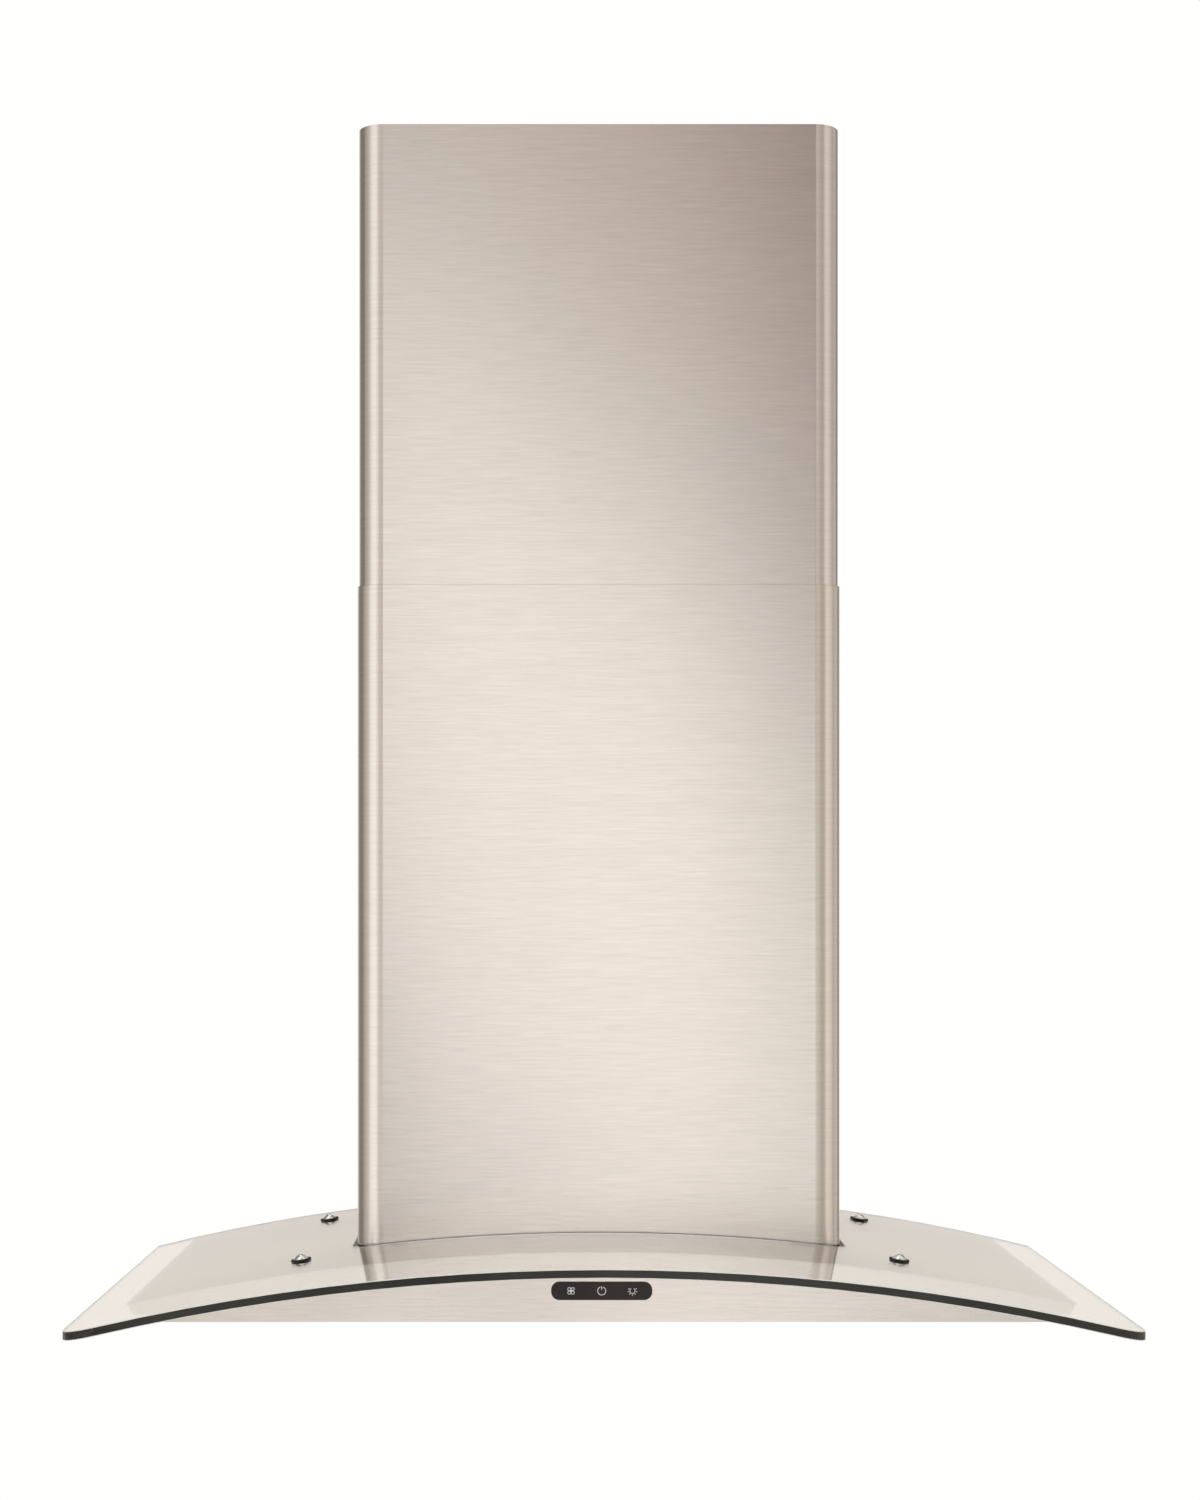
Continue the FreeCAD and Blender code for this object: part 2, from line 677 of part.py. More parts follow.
def impeller():
    """Double-inlet wheel: forward-curved blades between two rims and a hub disc."""
    low = FAN_Y - WHEEL_WIDTH / 2
    centre = point(FAN_X, low, FAN_Z)
    rims = []
    for y in (low, low + WHEEL_WIDTH - 2):
        rims.append(tube(WHEEL_R, WHEEL_R - 12, point(FAN_X, y, FAN_Z), Y_AXIS, 2))
    disc = rod(WHEEL_R - 1, point(FAN_X, FAN_Y - 1, FAN_Z), Y_AXIS, 2)
    hub = rod(11, point(FAN_X, FAN_Y - 4, FAN_Z), Y_AXIS, 20)
    blades = []
    for i in range(BLADES):
        blade = box(-0.6, 0.6, 0, WHEEL_WIDTH, 0, 11.5)
        blade.rotate(point(0, 0, 0), Y_AXIS, 28)
        blade.translate(point(0, 0, WHEEL_R - 12.5))
        blade.rotate(point(0, 0, 0), Y_AXIS, 360.0 * i / BLADES)
        blade.translate(centre)
        blades.append(blade)
    rim_space = rod(WHEEL_R, centre, Y_AXIS, WHEEL_WIDTH)
    wheel = rims[0].multiFuse([rims[1], disc, hub] + blades).common(rim_space)
    return wheel.cut(rod(SHAFT_R, point(FAN_X, FAN_Y - 40, FAN_Z), Y_AXIS, 80))


def motor_shaft():
    """Steel shaft through the hub, with a locking nut on its end."""
    shaft = rod(SHAFT_R, point(FAN_X, -180, FAN_Z), Y_AXIS, 66)
    nut = rod(7, point(FAN_X, FAN_Y + 16, FAN_Z), Y_AXIS, 5)
    return joined([shaft, nut])


def motor():
    """Fan motor, which sits inside the front inlet of the wheel."""
    length = MOTOR_BACK_Y - MOTOR_FRONT_Y
    can = rod(MOTOR_R - 4, point(FAN_X, MOTOR_FRONT_Y, FAN_Z), Y_AXIS, length)
    band = rod(MOTOR_R, point(FAN_X, MOTOR_FRONT_Y + 16, FAN_Z), Y_AXIS, length - 30)
    bore = rod(SHAFT_R + RUNNING, point(FAN_X, -182, FAN_Z), Y_AXIS, 60)
    return joined([can, band]).cut(bore)


def arm_ends():
    """Places of the three motor bracket screws about the fan axis, in X and Z."""
    ends = []
    for angle in (30, 150, 270):
        turn = math.radians(angle)
        ends.append((FAN_X + 64 * math.cos(turn), FAN_Z + 64 * math.sin(turn)))
    return ends


def motor_bracket():
    """Three-armed bracket from the front of the motor to the side of the volute."""
    pieces = [rod(26, point(FAN_X, MOTOR_FRONT_Y - 2, FAN_Z), Y_AXIS, 2)]
    for angle in (30, 150, 270):
        arm = box(0, ARM_REACH, -2, 0, -7, 7)
        foot = box(ARM_REACH - 8, ARM_REACH, -2, VOLUTE_FRONT_Y - MOTOR_FRONT_Y, -7, 7)
        piece = joined([arm, foot])
        piece.rotate(point(0, 0, 0), Y_AXIS, -angle)
        piece.translate(point(FAN_X, MOTOR_FRONT_Y, FAN_Z))
        pieces.append(piece)
    bracket = joined(pieces)
    for x, z in arm_ends():
        bracket = bracket.cut(rod(1.6, point(x, MOTOR_FRONT_Y - 5, z), Y_AXIS, 30))
    return bracket


def motor_screws():
    screws = []
    for x, z in arm_ends():
        seat = point(x, MOTOR_FRONT_Y - 2, z)
        screws.append(pan_screw(seat, point(0, -1, 0), 3.5, 2.2, 1.6, 15.2))
    return group(screws)


CAPACITOR_X = -105.0
CAPACITOR_R = 15.0
CAPACITOR_Z = APEX_Z + 60.0


def capacitor():
    centre_y = BOX_FRONT_Y + BOX_SHEET + 1 + CAPACITOR_R
    can = rod(CAPACITOR_R, point(CAPACITOR_X, centre_y, CAPACITOR_Z), Z_AXIS, 55)
    low = CAPACITOR_Z + 54
    tag = box(CAPACITOR_X - 4, CAPACITOR_X + 4, centre_y - 0.4, centre_y + 0.4, low, low + 9)
    return joined([can, tag])


def capacitor_clip():
    """Spring band that holds the capacitor against the front wall of the box."""
    wall_y = BOX_FRONT_Y + BOX_SHEET
    centre = point(CAPACITOR_X, wall_y + 1 + CAPACITOR_R, CAPACITOR_Z + 20)
    band = tube(CAPACITOR_R + 1, CAPACITOR_R, centre, Z_AXIS, 14)
    tab = box(CAPACITOR_X - 25, CAPACITOR_X + 25, wall_y, wall_y + 1, CAPACITOR_Z + 20, CAPACITOR_Z + 34)
    return joined([band, tab])


# ---------------------------------------------------------------- duct collar and damper
FLAP_Z = LID_TOP_Z + 20.0
FLAP_R = COLLAR_R - COLLAR_WALL - 0.8
FLAP_START = 3.5
DAMPER_ROD_R = 1.5
KNUCKLE_R = 2.9
FRONT_KNUCKLES = ((-60, -42), (22, 40))
REAR_KNUCKLES = ((-40, -22), (42, 60))
COLLAR_SCREW_R = 82.0


def duct_collar():
    """Flanged round outlet with a ledge under the damper and two blind sockets for its rod."""
    base = point(0, FAN_Y, LID_TOP_Z)
    inner = COLLAR_R - COLLAR_WALL
    flange = tube(COLLAR_FLANGE_R, inner, base, Z_AXIS, 2)
    wall = tube(COLLAR_R, inner, base, Z_AXIS, 2 + COLLAR_LENGTH)
    ledge = tube(inner + 0.2, inner - 3.4, point(0, FAN_Y, FLAP_Z - 2.8), Z_AXIS, 2)
    socket = box(-inner - 0.2, inner + 0.2, FAN_Y - 4, FAN_Y + 4, FLAP_Z - 2.8, FLAP_Z + 4)
    socket = socket.cut(box(-inner + 5, inner - 5, FAN_Y - 10, FAN_Y + 10, FLAP_Z - 5, FLAP_Z + 5))
    socket = socket.common(rod(inner + 0.2, base, Z_AXIS, 60))
    collar = joined([flange, wall, ledge, socket])
    collar = collar.cut(rod(DAMPER_ROD_R, point(-inner - 0.4, FAN_Y, FLAP_Z), X_AXIS, 2 * inner + 0.8))
    for x, y in collar_screw_places():
        collar = collar.cut(rod(1.5, point(x, y, LID_TOP_Z - 5), Z_AXIS, 20))
    return collar


def collar_screw_places():
    places = []
    for angle in (45, 135, 225, 315):
        turn = math.radians(angle)
        places.append((COLLAR_SCREW_R * math.cos(turn), FAN_Y + COLLAR_SCREW_R * math.sin(turn)))
    return places


def collar_screws():
    screws = []
    for x, y in collar_screw_places():
        screws.append(pan_screw(point(x, y, LID_TOP_Z + 2), Z_AXIS, 3.0, 2.0, 1.5, 2))
    return group(screws)


def damper_rod():
    length = 2 * (COLLAR_R - COLLAR_WALL) + 0.6
    return rod(DAMPER_ROD_R, point(-length / 2, FAN_Y, FLAP_Z), X_AXIS, length)


def damper_flap(side, own, other):
    """Half-moon flap on two knuckles; side is -1 for the front flap and +1 for the rear one."""
    disc = rod(FLAP_R, point(0, FAN_Y, FLAP_Z - 0.5), Z_AXIS, 1)
    ys = sorted([FAN_Y + side * FLAP_START, FAN_Y + side * 100])
    plate = disc.common(box(-100, 100, ys[0], ys[1], FLAP_Z - 5, FLAP_Z + 5))
    socket_zone = sorted([FAN_Y, FAN_Y + side * 6])
    for zone in ((-80, -66), (66, 80)):
        plate = plate.cut(box(zone[0], zone[1], socket_zone[0], socket_zone[1], FLAP_Z - 5, FLAP_Z + 5))
    pieces = [plate]
    for x0, x1 in own:
        pieces.append(rod(KNUCKLE_R, point(x0, FAN_Y, FLAP_Z), X_AXIS, x1 - x0))
        web = sorted([FAN_Y + side * 2, FAN_Y + side * (FLAP_START + 1)])
        pieces.append(box(x0, x1, web[0], web[1], FLAP_Z - 0.5, FLAP_Z + 0.5))
    flap = joined(pieces)
    return flap.cut(rod(DAMPER_ROD_R + RUNNING, point(-100, FAN_Y, FLAP_Z), X_AXIS, 200))


# ---------------------------------------------------------------- terminal box
TERMINAL_X0 = -BOX_HALF - 38
TERMINAL_X1 = -BOX_HALF
TERMINAL_Y0 = -130.0
TERMINAL_Y1 = -50.0
TERMINAL_Z0 = APEX_Z + 190
TERMINAL_Z1 = APEX_Z + 250
GROMMET_X = -BOX_HALF - 18
GROMMET_Y = -90.0
GROMMET_BORE_R = 5.0


def terminal_box():
    """Plastic tray on the side of the motor box where the supply is connected."""
    tray = box(TERMINAL_X0 + 2, TERMINAL_X1, TERMINAL_Y0, TERMINAL_Y1, TERMINAL_Z0, TERMINAL_Z1)
    tray = tray.cut(
        box(
            TERMINAL_X0,
            TERMINAL_X1 - 2,
            TERMINAL_Y0 + 2,
            TERMINAL_Y1 - 2,
            TERMINAL_Z0 + 2,
            TERMINAL_Z1 - 2,
        )
    )
    return tray.cut(rod(8.0, point(GROMMET_X, GROMMET_Y, TERMINAL_Z1 - 10), Z_AXIS, 20))


def terminal_cover():
    return box(TERMINAL_X0, TERMINAL_X0 + 2, TERMINAL_Y0, TERMINAL_Y1, TERMINAL_Z0, TERMINAL_Z1)


def terminal_block():
    """Screw terminals for the supply wires."""
    block = box(TERMINAL_X1 - 16, TERMINAL_X1 - 2, -112, -68, TERMINAL_Z0 + 14, TERMINAL_Z0 + 28)
    for y in (-104, -90, -76):
        block = block.cut(rod(2.5, point(TERMINAL_X1 - 18, y, TERMINAL_Z0 + 21), X_AXIS, 12))
    return block


def cable_grommet():
    """Rubber bush in the top wall of the terminal box, where a supply cable would enter."""
    low = point(GROMMET_X, GROMMET_Y, TERMINAL_Z1 - 4)
    neck = rod(8.0, low, Z_AXIS, 6)
    collars = [rod(10.0, low, Z_AXIS, 2), rod(10.0, low + Z_AXIS * 4, Z_AXIS, 3)]
    bush = joined([neck] + collars)
    return bush.cut(rod(GROMMET_BORE_R, low - Z_AXIS * 5, Z_AXIS, 20))


# ---------------------------------------------------------------- touch control
LENS_FRONT_Y = BODY_FRONT_Y - 0.2
LENS_BACK_Y = LENS_FRONT_Y + 3.0
HOUSING_HALF = 52.0
BOARD_Y = LENS_BACK_Y + 6.0


def lens_prism(grow, y0, y1):
    """Pill outline of the touch strip, grown on every side and run from front to back."""
    def place(u, v):
        return point(u, y0, v)

    face = rounded_face(
        LENS_WIDTH / 2 + grow,
        LENS_Z - LENS_HEIGHT / 2 - grow,
        LENS_Z + LENS_HEIGHT / 2 + grow,
        LENS_CORNER_R + grow,
        place,
    )
    return face.extrude(point(0, y1 - y0, 0))


def touch_lens():
    return lens_prism(0, LENS_FRONT_Y, LENS_BACK_Y)


def icon_bar(x, z, angle, near, far, width):
    """Short radial bar of an icon, at an angle from straight up."""
    bar = box(-width / 2, width / 2, LENS_FRONT_Y - 0.15, LENS_FRONT_Y, near, far)
    bar.rotate(point(0, 0, 0), Y_AXIS, angle)
    bar.translate(point(x, 0, z))
    return bar


def icon_ring(x, z, outer, inner):
    return tube(outer, inner, point(x, LENS_FRONT_Y - 0.15, z), Y_AXIS, 0.15)


def fan_icon(x, z):
    """Four looped blades round a hub."""
    pieces = [rod(0.7, point(x, LENS_FRONT_Y - 0.15, z), Y_AXIS, 0.15)]
    for angle in (45, 135, 225, 315):
        turn = math.radians(angle)
        loop_x = x + 2.15 * math.sin(turn)
        loop_z = z + 2.15 * math.cos(turn)
        pieces.append(icon_ring(loop_x, loop_z, 1.6, 1.05))
    return joined(pieces)


def power_icon(x, z):
    """Open ring with a bar in its gap."""
    gap = box(x - 1.2, x + 1.2, LENS_FRONT_Y - 1, LENS_FRONT_Y + 1, z, z + ICON_D)
    ring = icon_ring(x, z, ICON_D / 2 - 0.2, ICON_D / 2 - 0.8).cut(gap)
    return [ring, icon_bar(x, z, 0, 0.9, ICON_D / 2, 0.6)]


def light_icon(x, z):
    """Open ring with short rays round its lower part."""
    gap = box(x - 1.2, x + 1.2, LENS_FRONT_Y - 1, LENS_FRONT_Y + 1, z, z + ICON_D)
    pieces = [icon_ring(x, z, 2.5, 1.95).cut(gap)]
    for angle in range(60, 301, 40):
        pieces.append(icon_bar(x, z, angle, 3.0, ICON_D / 2 + 0.2, 0.55))
    return pieces


def touch_icons():
    """Three light grey symbols on the touch strip: fan, power and light."""
    pieces = [fan_icon(-ICON_PITCH, LENS_Z)]
    pieces.extend(power_icon(0, LENS_Z))
    pieces.extend(light_icon(ICON_PITCH, LENS_Z))
    return group(pieces)


def control_housing():
    """Tray behind the front panel that carries the lens and the board."""
    front = BODY_FRONT_Y + SHEET
    low = LENS_Z - 12
    high = LENS_Z + 12
    block = box(-HOUSING_HALF, HOUSING_HALF, front, front + 16, low, high)
    hollow = box(-HOUSING_HALF + 2, HOUSING_HALF - 2, LENS_BACK_Y + 1.5, front + 20, low + 2, high - 2)
    seat = lens_prism(0.25, front - 1, LENS_BACK_Y)
    window = lens_prism(-1.5, front - 1, front + 10)
    return block.cut(hollow).cut(seat).cut(window)


def control_board():
    return box(-HOUSING_HALF + 2.5, HOUSING_HALF - 2.5, BOARD_Y, BOARD_Y + 1.6, LENS_Z - 9.5, LENS_Z + 9.5)


def touch_contacts():
    """Conductive foam posts between the board and the back of the lens, one behind each icon."""
    posts = []
    for x in (-ICON_PITCH, 0, ICON_PITCH):
        posts.append(rod(3.0, point(x, LENS_BACK_Y, LENS_Z), Y_AXIS, BOARD_Y - LENS_BACK_Y))
    return group(posts)


# ---------------------------------------------------------------- grease filters, right side
FILTER_X0 = FILTER_INNER_X + FILTER_GAP
FILTER_X1 = FILTER_OUTER_X - FILTER_GAP
FILTER_Y0 = FILTER_FRONT_Y + FILTER_GAP
FILTER_Y1 = FILTER_REAR_Y - 3.0
FILTER_Z0 = BOTTOM_Z + 0.5
FILTER_Z1 = FILTER_Z0 + FILTER_THICK
FILTER_RAIL = 14.0
PIVOT_Z = BOTTOM_Z + FILTER_PIVOT_UP
PIN_OUT = 6.0              # pivot pins stand this far out of the rim
MESH_SHEET = 0.8
MESH_PITCH = 12.0
LATCH_X = (FILTER_X0 + FILTER_X1) / 2
LATCH_HALF = 30.0
LATCH_RIB = 2.0            # the latch is wider above, so that it can't drop out of its pocket
LATCH_LIP = 2.0
LATCH_GAP = 0.4
LATCH_THICK = 5.5
LATCH_FRONT_Y = FILTER_Y0 + 2.0
LATCH_REAR_Y = FILTER_Y0 + 32.0
LATCH_SPRING = 10.5
TONGUE_HALF = 12.0
TONGUE_REACH = 5.0
TONGUE_Z = PANEL_Z + SHEET + 0.4


def latch_block(grow, front_y, rear_y, low_z, top_z):
    """T-shaped block of the latch, or of its pocket when grown."""
    narrow = LATCH_HALF + grow
    wide = LATCH_HALF + LATCH_RIB + grow
    step_z = FILTER_Z0 + LATCH_LIP + LATCH_GAP - grow
    lower = box(LATCH_X - narrow, LATCH_X + narrow, front_y, rear_y, low_z, top_z)
    upper = box(LATCH_X - wide, LATCH_X + wide, front_y, rear_y, step_z, top_z)
    return joined([lower, upper])


def plinth_block(low_z, top_z):
    """Block of the front rail that holds the latch pocket."""
    half = LATCH_HALF + LATCH_RIB + 4
    return box(LATCH_X - half, LATCH_X + half, FILTER_Y0, LATCH_REAR_Y + LATCH_SPRING + 3, low_z, top_z)


def rail_window(low_z, top_z):
    """Clear space inside the four rails."""
    return box(
        FILTER_X0 + FILTER_RAIL,
        FILTER_X1 - FILTER_RAIL,
        FILTER_Y0 + FILTER_RAIL,
        FILTER_Y1 - FILTER_RAIL,
        low_z,
        top_z,
    )


def filter_frame():
    """Aluminium rim of the grease filter with two pivot pins and a pocket for the latch."""
    rim = box(FILTER_X0, FILTER_X1, FILTER_Y0, FILTER_Y1, FILTER_Z0, FILTER_Z1)
    rim = rim.cut(rail_window(FILTER_Z0 - 1, FILTER_Z1 + 1))
    pins = []
    for x in (FILTER_X0 - PIN_OUT, FILTER_X1 - PIN_OUT):
        pins.append(rod(PIVOT_R, point(x, FILTER_PIVOT_Y, PIVOT_Z), X_AXIS, 2 * PIN_OUT))
    whole = joined([rim, plinth_block(FILTER_Z0, FILTER_Z1)] + pins)
    top = FILTER_Z0 + LATCH_THICK + LATCH_GAP
    pocket = latch_block(
        LATCH_GAP, LATCH_FRONT_Y - LATCH_GAP, LATCH_REAR_Y + LATCH_SPRING, FILTER_Z0 - 1, top
    )
    slot_half = TONGUE_HALF + LATCH_GAP
    slot = box(
        LATCH_X - slot_half, LATCH_X + slot_half, FILTER_Y0 - 1, LATCH_FRONT_Y, TONGUE_Z - LATCH_GAP, top
    )
    return whole.cut(pocket).cut(slot)


def filter_mesh():
    """Corrugated sheet of expanded aluminium held by the rim, cut round the latch."""
    low = FILTER_Z0 + 1.5
    high = FILTER_Z1 - 1.5
    x0 = FILTER_X0 + FILTER_RAIL
    x1 = FILTER_X1 - FILTER_RAIL
    y = FILTER_Y0 + FILTER_RAIL
    count = int((x1 - x0) / MESH_PITCH) * 2
    step = (x1 - x0) / count
    lower = []
    upper = []
    for i in range(count + 1):
        z = low if i % 2 == 0 else high - MESH_SHEET
        lower.append(point(x0 + i * step, y, z))
        upper.append(point(x0 + i * step, y, z + MESH_SHEET))
    outline = lower + upper[::-1] + lower[:1]
    sheet = Part.Face(Part.makePolygon(outline)).extrude(point(0, FILTER_Y1 - FILTER_RAIL - y, 0))
    return sheet.cut(plinth_block(FILTER_Z0 - 1, FILTER_Z1 + 1))


def filter_latch():
    """Sliding latch: a tongue over the front lip of the opening and a finger hollow."""
    slab = latch_block(0, LATCH_FRONT_Y, LATCH_REAR_Y, FILTER_Z0, FILTER_Z0 + LATCH_THICK)
    hollow = box(
        LATCH_X - LATCH_HALF + 6,
        LATCH_X + LATCH_HALF - 6,
        LATCH_FRONT_Y + 6,
        LATCH_REAR_Y - 4,
        FILTER_Z0 - 1,
        FILTER_Z0 + 4,
    )
    tongue = box(
        LATCH_X - TONGUE_HALF,
        LATCH_X + TONGUE_HALF,
        FILTER_FRONT_Y - TONGUE_REACH,
        LATCH_FRONT_Y + 4,
        TONGUE_Z,
        FILTER_Z0 + LATCH_THICK,
    )
    return joined([slab.cut(hollow), tongue])


def latch_spring():
    """Two small compression springs behind the latch, as plain sleeves."""
    springs = []
    for x in (LATCH_X - 18, LATCH_X + 18):
        start = point(x, LATCH_REAR_Y, FILTER_Z0 + 3)
        springs.append(tube(2.2, 1.5, start, Y_AXIS, LATCH_SPRING))
    return group(springs)


def filter_hinges():
    """Small brackets on the bottom panel with a hole for each pivot pin."""
    brackets = []
    spans = [(FILTER_X0 - 5, FILTER_X0 - 2), (FILTER_X1 + 2, FILTER_X1 + 5)]
    for x0, x1 in spans:
        plate = box(x0, x1, FILTER_PIVOT_Y - 5, FILTER_PIVOT_Y + 5, PANEL_Z + SHEET, PIVOT_Z + 5)
        plate = plate.cut(rod(PIVOT_R + RUNNING, point(x0 - 1, FILTER_PIVOT_Y, PIVOT_Z), X_AXIS, 10))
        brackets.append(plate)
        brackets.append(mirrored(plate))
    return group(brackets)


# ---------------------------------------------------------------- lamps, right side
def lamp_bezel():
    """Ring trim that shows on the underside round the lamp."""
    flange = tube(LAMP_R + 4, 24, point(LAMP_X, LAMP_Y, BOTTOM_Z - 0.6), Z_AXIS, 1.6)
    neck = tube(LAMP_R - 0.3, 26, point(LAMP_X, LAMP_Y, BOTTOM_Z + 0.5), Z_AXIS, 3.5)
    return joined([flange, neck])


def lamp_lens():
    """Frosted disc in the bezel."""
    face = rod(24.0, point(LAMP_X, LAMP_Y, BOTTOM_Z - 0.2), Z_AXIS, 1.2)
    step = rod(26.0, point(LAMP_X, LAMP_Y, BOTTOM_Z + 1.0), Z_AXIS, 1.5)
    return joined([face, step])


def lamp_housing():
    """Heat-sink cup behind the lens."""
    low = BOTTOM_Z + 4.0
    cup = rod(LAMP_R - 0.3, point(LAMP_X, LAMP_Y, low), Z_AXIS, 18)
    hollow = rod(LAMP_R - 3, point(LAMP_X, LAMP_Y, low - 1), Z_AXIS, 16)
    cup = cup.cut(hollow)
    for i in range(7):
        x = LAMP_X - 24 + 8 * i
        cup = cup.cut(box(x - 1, x + 1, LAMP_Y - 40, LAMP_Y + 40, low + 16, low + 30))
    return cup


def lamp_board():
    """Round board with seven light-emitting chips, seated at the top of the cup."""
    top = BOTTOM_Z + 4.0 + 15.0
    pieces = [rod(24.0, point(LAMP_X, LAMP_Y, top - 1.6), Z_AXIS, 1.6)]
    places = [(0.0, 0.0)]
    for i in range(6):
        turn = math.radians(60 * i)
        places.append((15 * math.cos(turn), 15 * math.sin(turn)))
    for dx, dy in places:
        x = LAMP_X + dx
        y = LAMP_Y + dy
        pieces.append(box(x - 1.7, x + 1.7, y - 1.7, y + 1.7, top - 2.6, top - 1.6))
    return joined(pieces)


# ---------------------------------------------------------------- files
def write(name, shape):
    solids = shape.Solids
    good = shape.isValid() and len(solids) > 0
    print(name, len(solids), "solids", round(shape.Volume), "mm3", "ok" if good else "BAD")
    if len(solids) == 1:
        shape = solids[0]
    shape.exportStep("parts/" + name + ".step")


os.makedirs("parts", exist_ok=True)

write("glass_canopy", glass_canopy())
write("glass_screws", glass_screws())
write("glass_washers", glass_washers())
write("glass_pads", glass_pads())
write("glass_nuts", glass_nuts())
write("top_plate", top_plate())
write("front_panel", front_panel())
write("body_wrap", body_wrap())
write("bottom_panel", bottom_panel())
write("panel_screws", panel_screws())
write("wall_bracket", wall_bracket())
write("hook_rail", hook_rail())
write("lower_flue", lower_flue())
write("upper_flue", upper_flue())
write("ceiling_bracket", ceiling_bracket())
write("upper_flue_screws", upper_flue_screws())
write("flue_feet", flue_feet())
write("motor_box", motor_box())
write("motor_box_lid", motor_box_lid())
write("plate_screws", plate_screws())
write("volute_front", volute_front())
write("volute_rear", volute_rear())
write("impeller", impeller())
write("motor_shaft", motor_shaft())
write("motor", motor())
write("motor_bracket", motor_bracket())
write("motor_screws", motor_screws())
write("capacitor", capacitor())
write("capacitor_clip", capacitor_clip())
write("duct_collar", duct_collar())
write("collar_screws", collar_screws())
write("damper_rod", damper_rod())
write("damper_flap_front", damper_flap(-1, FRONT_KNUCKLES, REAR_KNUCKLES))
write("damper_flap_rear", damper_flap(1, REAR_KNUCKLES, FRONT_KNUCKLES))
write("terminal_box", terminal_box())
write("terminal_cover", terminal_cover())
write("terminal_block", terminal_block())
write("cable_grommet", cable_grommet())
write("touch_lens", touch_lens())
write("touch_icons", touch_icons())
write("control_housing", control_housing())
write("control_board", control_board())
write("touch_contacts", touch_contacts())
write("filter_hinges", filter_hinges())
for side, place in (("right", lambda shape: shape), ("left", mirrored)):
    write("filter_frame_" + side, place(filter_frame()))
    write("filter_mesh_" + side, place(filter_mesh()))
    write("filter_latch_" + side, place(filter_latch()))
    write("latch_spring_" + side, place(latch_spring()))
    write("lamp_bezel_" + side, place(lamp_bezel()))
    write("lamp_lens_" + side, place(lamp_lens()))
    write("lamp_housing_" + side, place(lamp_housing()))
    write("lamp_board_" + side, place(lamp_board()))
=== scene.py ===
import json
import math

import bpy
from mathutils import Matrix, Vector

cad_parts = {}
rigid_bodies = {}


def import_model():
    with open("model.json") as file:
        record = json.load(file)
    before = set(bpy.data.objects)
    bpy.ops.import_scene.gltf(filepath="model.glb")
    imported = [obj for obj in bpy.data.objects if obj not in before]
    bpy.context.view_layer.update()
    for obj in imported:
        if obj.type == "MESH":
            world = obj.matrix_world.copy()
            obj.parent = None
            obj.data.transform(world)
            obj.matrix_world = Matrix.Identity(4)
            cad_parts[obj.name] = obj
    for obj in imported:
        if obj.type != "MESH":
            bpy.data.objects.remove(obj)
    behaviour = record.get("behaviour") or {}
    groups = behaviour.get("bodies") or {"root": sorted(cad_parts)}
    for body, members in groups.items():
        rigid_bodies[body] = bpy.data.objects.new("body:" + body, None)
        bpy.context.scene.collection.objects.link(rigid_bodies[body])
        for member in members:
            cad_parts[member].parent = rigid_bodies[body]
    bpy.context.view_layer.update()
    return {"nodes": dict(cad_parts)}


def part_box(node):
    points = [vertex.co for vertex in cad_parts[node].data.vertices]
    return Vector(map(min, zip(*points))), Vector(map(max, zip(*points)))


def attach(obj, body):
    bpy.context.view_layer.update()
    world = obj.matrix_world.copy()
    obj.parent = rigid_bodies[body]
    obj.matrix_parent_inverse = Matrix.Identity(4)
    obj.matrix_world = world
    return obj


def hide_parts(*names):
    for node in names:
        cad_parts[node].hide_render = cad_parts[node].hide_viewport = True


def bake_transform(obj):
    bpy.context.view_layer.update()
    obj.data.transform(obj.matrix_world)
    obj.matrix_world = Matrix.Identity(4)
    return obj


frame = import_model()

nodes = frame["nodes"]


# ------------------------------------------------------------------ hanging rails
# Folded steel rails: one screwed to the wall, one under the ceiling, one welded to the motor box.
# All are zinc plated, dull grey with a cloudy bloom and fine roller lines.


def finish(name, metallic, roughness):
    """New finish with a single shader; what is even over the piece is set on the shader itself."""
    material = bpy.data.materials.new(name)
    material.use_nodes = True
    shader = material.node_tree.nodes["Principled BSDF"]
    shader.inputs["Metallic"].default_value = metallic
    shader.inputs["Roughness"].default_value = roughness
    return material, shader


def grain(material, cycles, detail=3.0):
    """Cloudy noise fixed to the piece: cycles per metre, one number or one each for X, Y and Z."""
    tree = material.node_tree
    place = tree.nodes.new("ShaderNodeTexCoord")
    stretch = tree.nodes.new("ShaderNodeMapping")
    stretch.inputs["Scale"].default_value = cycles if isinstance(cycles, tuple) else (cycles,) * 3
    noise = tree.nodes.new("ShaderNodeTexNoise")
    noise.inputs["Scale"].default_value = 1.0
    noise.inputs["Detail"].default_value = detail
    tree.links.new(place.outputs["Object"], stretch.inputs["Vector"])
    tree.links.new(stretch.outputs["Vector"], noise.inputs["Vector"])
    return noise.outputs["Fac"]


NOISE_RANGE = (0.3, 0.7)     # the noise hardly leaves this range


def tones(material, shader, amount, dark, light, spread=NOISE_RANGE):
    """Colour that wanders between two tones with a grain."""
    ramp = material.node_tree.nodes.new("ShaderNodeValToRGB")
    ramp.color_ramp.elements[0].position = spread[0]
    ramp.color_ramp.elements[0].color = (*dark, 1)
    ramp.color_ramp.elements[1].position = spread[1]
    ramp.color_ramp.elements[1].color = (*light, 1)
    material.node_tree.links.new(amount, ramp.inputs["Fac"])
    material.node_tree.links.new(ramp.outputs["Color"], shader.inputs["Base Color"])


